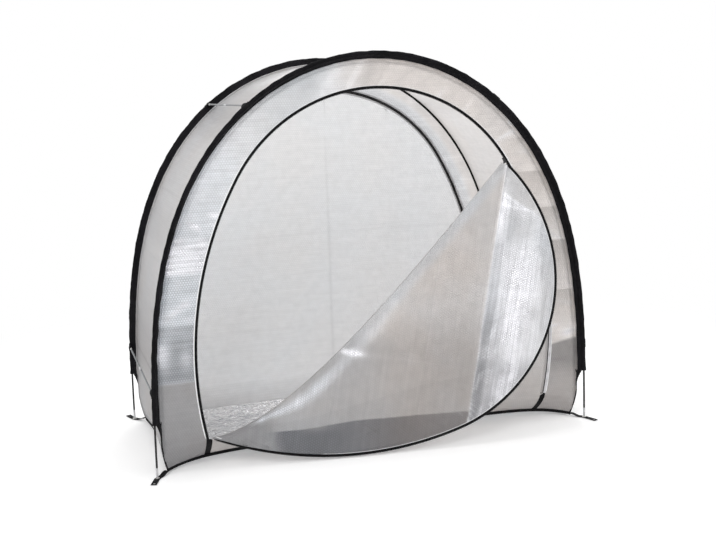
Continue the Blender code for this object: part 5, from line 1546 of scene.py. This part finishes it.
def strapPiece(place, x, y):
    points, heads, foot, peg, corner = strapLine(x, y)
    across = gridOf(-heads[:, 1], heads[:, 0])
    run, half = runOf(*points.T), strapShape["half"]
    level = strapShape["lift"] + strapShape["thickness"] / 2 + 0.0001
    reach = float(np.linalg.norm(foot - corner)) - strapShape["flat"] - 0.010
    height = between(level, tent["hem"] - tent["hemDepth"] / 2, 1 - smooth(run, 0.006, reach))
    left, right = np.zeros(len(run)), np.zeros(len(run))
    for centre, radius in ((foot, strapShape["eyeletHole"]), (peg, strapShape["pegHole"])):
        along, side = (((centre - points) * way).sum(axis=1) for way in (heads, across))
        chord = np.sqrt(np.maximum(radius ** 2 - along ** 2, 0.0))
        hit = chord > 0
        left[hit], right[hit] = (side - chord)[hit], (side + chord)[hit]
    share, count = evenRow(4), len(run)
    verts, faces, flats = [], [], []
    for offset in (between(-half, left[:, None], share), between(right[:, None], half, share)):  # beside the holes
        base = sum(len(p) for p in verts)
        xy = points[:, None, :] + across[:, None, :] * offset[..., None]
        for lift in (strapShape["thickness"] / 2, -strapShape["thickness"] / 2):
            verts.append(gridOf(xy[..., 0], xy[..., 1], height[:, None] + lift).reshape(-1, 3))
            flats.append(gridOf(run[:, None], offset + half).reshape(-1, 2))
        quads = gridQuads(count, 4)
        faces += (np.concatenate([quads, quads[:, ::-1] + count * 4, rimQuads(count, 4)]) + base).tolist()
    strap = addMesh("strap" + place, np.concatenate(verts), faces, webbingCloth, np.concatenate(flats))
    return strap, float(run[-1])


def weldedStrap(strap):  # joins the two halves where no hole parts them
    work = bmesh.new()
    work.from_mesh(strap.data)
    bmesh.ops.remove_doubles(work, verts=work.verts, dist=0.00002)
    seen = {}
    for face in list(work.faces):
        key = tuple(sorted(v.index for v in face.verts))
        seen.setdefault(key, []).append(face)
    double = [face for faces in seen.values() if len(faces) > 1 for face in faces]
    bmesh.ops.delete(work, geom=double, context="FACES")
    bmesh.ops.recalc_face_normals(work, faces=work.faces)
    work.to_mesh(strap.data)
    work.free()


for place, node, x, y in (("FrontLeft", "front_left", -1, -1), ("FrontRight", "front_right", 1, -1),
                          ("BackLeft", "back_left", -1, 1), ("BackRight", "back_right", 1, 1)):
    strap, length = strapPiece(place, x * tent["feet"] / 2, y * tent["depth"] / 2)
    weldedStrap(strap)
    ownPiece(strap, "tent", "black_fabric", "strap_" + node)
print("straps ready")


# Rigid parts keep their solids and get their finishes

sliderFinish = plainFinish("blackSlider", (0.030, 0.030, 0.032), 0.36, metal=0.7, scale=260.0, change=0.4)
rigidParts = (  # what a node's name holds, its finish and its slot
    ("_pole_", longTube("poleTube", (0.007, 0.007, 0.008), 0.46, 0.0, (), 2), "pole_tube"),
    ("pole_tip", plainFinish("galvanisedSteel", (0.56, 0.56, 0.57), 0.34, metal=1.0, scale=160.0, change=0.14),
     "bright_metal"),
    ("strut_", longTube("strutTube", (0.26, 0.27, 0.28), 0.40, 0.55, (
        (0.0, 0.0253, (0.62, 0.62, 0.63), 0.9), (0.386, 0.50, (0.62, 0.62, 0.60), 0.0)), 1), "strut_tube"),
    ("eyelet", plainFinish("eyeletNickel", (0.66, 0.65, 0.62), 0.26, metal=1.0, scale=220.0, change=0.08),
     "bright_metal"),
    ("_slider", sliderFinish, "black_metal"), ("_pull", sliderFinish, "black_metal"),
)
for label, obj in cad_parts.items():
    for word, finishAndPaintedLight, slot in rigidParts:
        if word in label:
            obj.data.materials.clear()
            obj.data.materials.append(finishAndPaintedLight)
print("rigid parts ready")


# Studio: white surroundings, soft lamps, and the photograph's viewpoint

studio = {
    "ambient": 0.58, "white": 1.0, "floorSize": 60.0, "floorColor": (0.93, 0.93, 0.93), "floorLift": 0.20,
    "floorBelow": 0.0008, "floorFade": (1.3, 3.2), "lampAim": (0.0, 0.0, 0.7),
    "lamps": (("key", (-3.2, -4.6, 4.2), (2.6, 2.6), 122.0), ("fill", (4.4, -3.6, 2.6), (2.0, 2.0), 50.0),
              ("back", (1.5, 4.8, 3.6), (3.0, 3.0), 112.0), ("top", (0.0, 0.0, 5.2), (3.4, 2.4), 84.0)),
}
photoView = {"place": (-1.512, -4.7593, 1.6506), "lens": 51.51, "yaw": 18.053, "pitch": 10.074, "roll": -1.797}


def whiteSurroundings():
    world = bpy.data.worlds.new("studioWorld")
    bpy.context.scene.world = world
    world.use_nodes = True
    tree, blank = world.node_tree, (1.0, 1.0, 1.0, 1.0)
    plain = fill(tree.nodes["Background"], {"Color": blank, "Strength": studio["ambient"]})
    white = newNode(tree, "Background", {"Color": blank, "Strength": studio["white"]})
    path = newNode(tree, "LightPath", {}).outputs
    seen = mathOf("MAXIMUM", path["Is Glossy Ray"], path["Is Transmission Ray"])
    seen = mathOf("MAXIMUM", path["Is Camera Ray"], seen)
    put(tree.nodes["World Output"].inputs["Surface"], mixShaders(seen, plain.outputs[0], white.outputs[0]))


def paleFloor():
    half, below = studio["floorSize"] / 2, -studio["floorBelow"]
    corners = [(x * half, y * half, below) for x, y in ((-1, -1), (1, -1), (1, 1), (-1, 1))]
    mesh = bpy.data.meshes.new("paleFloor")
    mesh.from_pydata(corners, [], [(0, 1, 2, 3)])
    ground = bpy.data.objects.new("paleFloor", mesh)
    bpy.context.scene.collection.objects.link(ground)
    made, tree, shader = newMaterial("floorPaint")
    path = newNode(tree, "LightPath", {}).outputs
    seen = mathOf("MAXIMUM", path["Is Camera Ray"], path["Is Glossy Ray"])
    fill(shader, {"Base Color": (*studio["floorColor"], 1.0), "Roughness": 0.9, "Specular IOR Level": 0.1,
                  "Emission Color": (1.0, 1.0, 1.0, 1.0), "Emission Strength": times(seen, studio["floorLift"])})
    length = vectorOf("LENGTH", {0: objectPlace(tree)})["Value"]
    far = rangeOf(length, 0.0, 1.0, *studio["floorFade"], soft=True)  # it fades into the surroundings
    white = newNode(tree, "Emission", {})
    surface = mixShaders(times(far, seen), shader.outputs[0], white.outputs[0])
    put(tree.nodes["Material Output"].inputs["Surface"], surface)
    mesh.materials.append(made)


def lamps():
    for label, place, size, power in studio["lamps"]:
        light = bpy.data.lights.new(label + "Lamp", "AREA")
        light.shape, light.size, light.size_y, light.energy = "RECTANGLE", size[0], size[1], power
        lamp = bpy.data.objects.new(label + "Lamp", light)
        lamp.location = place
        aim = Vector(studio["lampAim"]) - Vector(place)
        lamp.rotation_euler = aim.to_track_quat("-Z", "Y").to_euler()
        bpy.context.scene.collection.objects.link(lamp)


def camera():
    yaw, pitch, roll = (math.radians(photoView[k]) for k in ("yaw", "pitch", "roll"))
    ahead = Vector((math.sin(yaw) * math.cos(pitch), math.cos(yaw) * math.cos(pitch), -math.sin(pitch)))
    right = Vector((math.cos(yaw), -math.sin(yaw), 0.0))
    up = right.cross(ahead)
    across = math.cos(roll) * right + math.sin(roll) * up
    above = -math.sin(roll) * right + math.cos(roll) * up
    data = bpy.data.cameras.new("photoCamera")
    data.lens, data.sensor_width = photoView["lens"], 36.0
    made = bpy.data.objects.new("photoCamera", data)
    turn = Matrix((across, above, -ahead)).transposed().to_4x4()
    made.matrix_world = Matrix.Translation(Vector(photoView["place"])) @ turn
    bpy.context.scene.collection.objects.link(made)
    bpy.context.scene.camera = made


whiteSurroundings()
paleFloor()
lamps()
camera()
bpy.context.scene.view_settings.view_transform = "Standard"
print("studio ready")
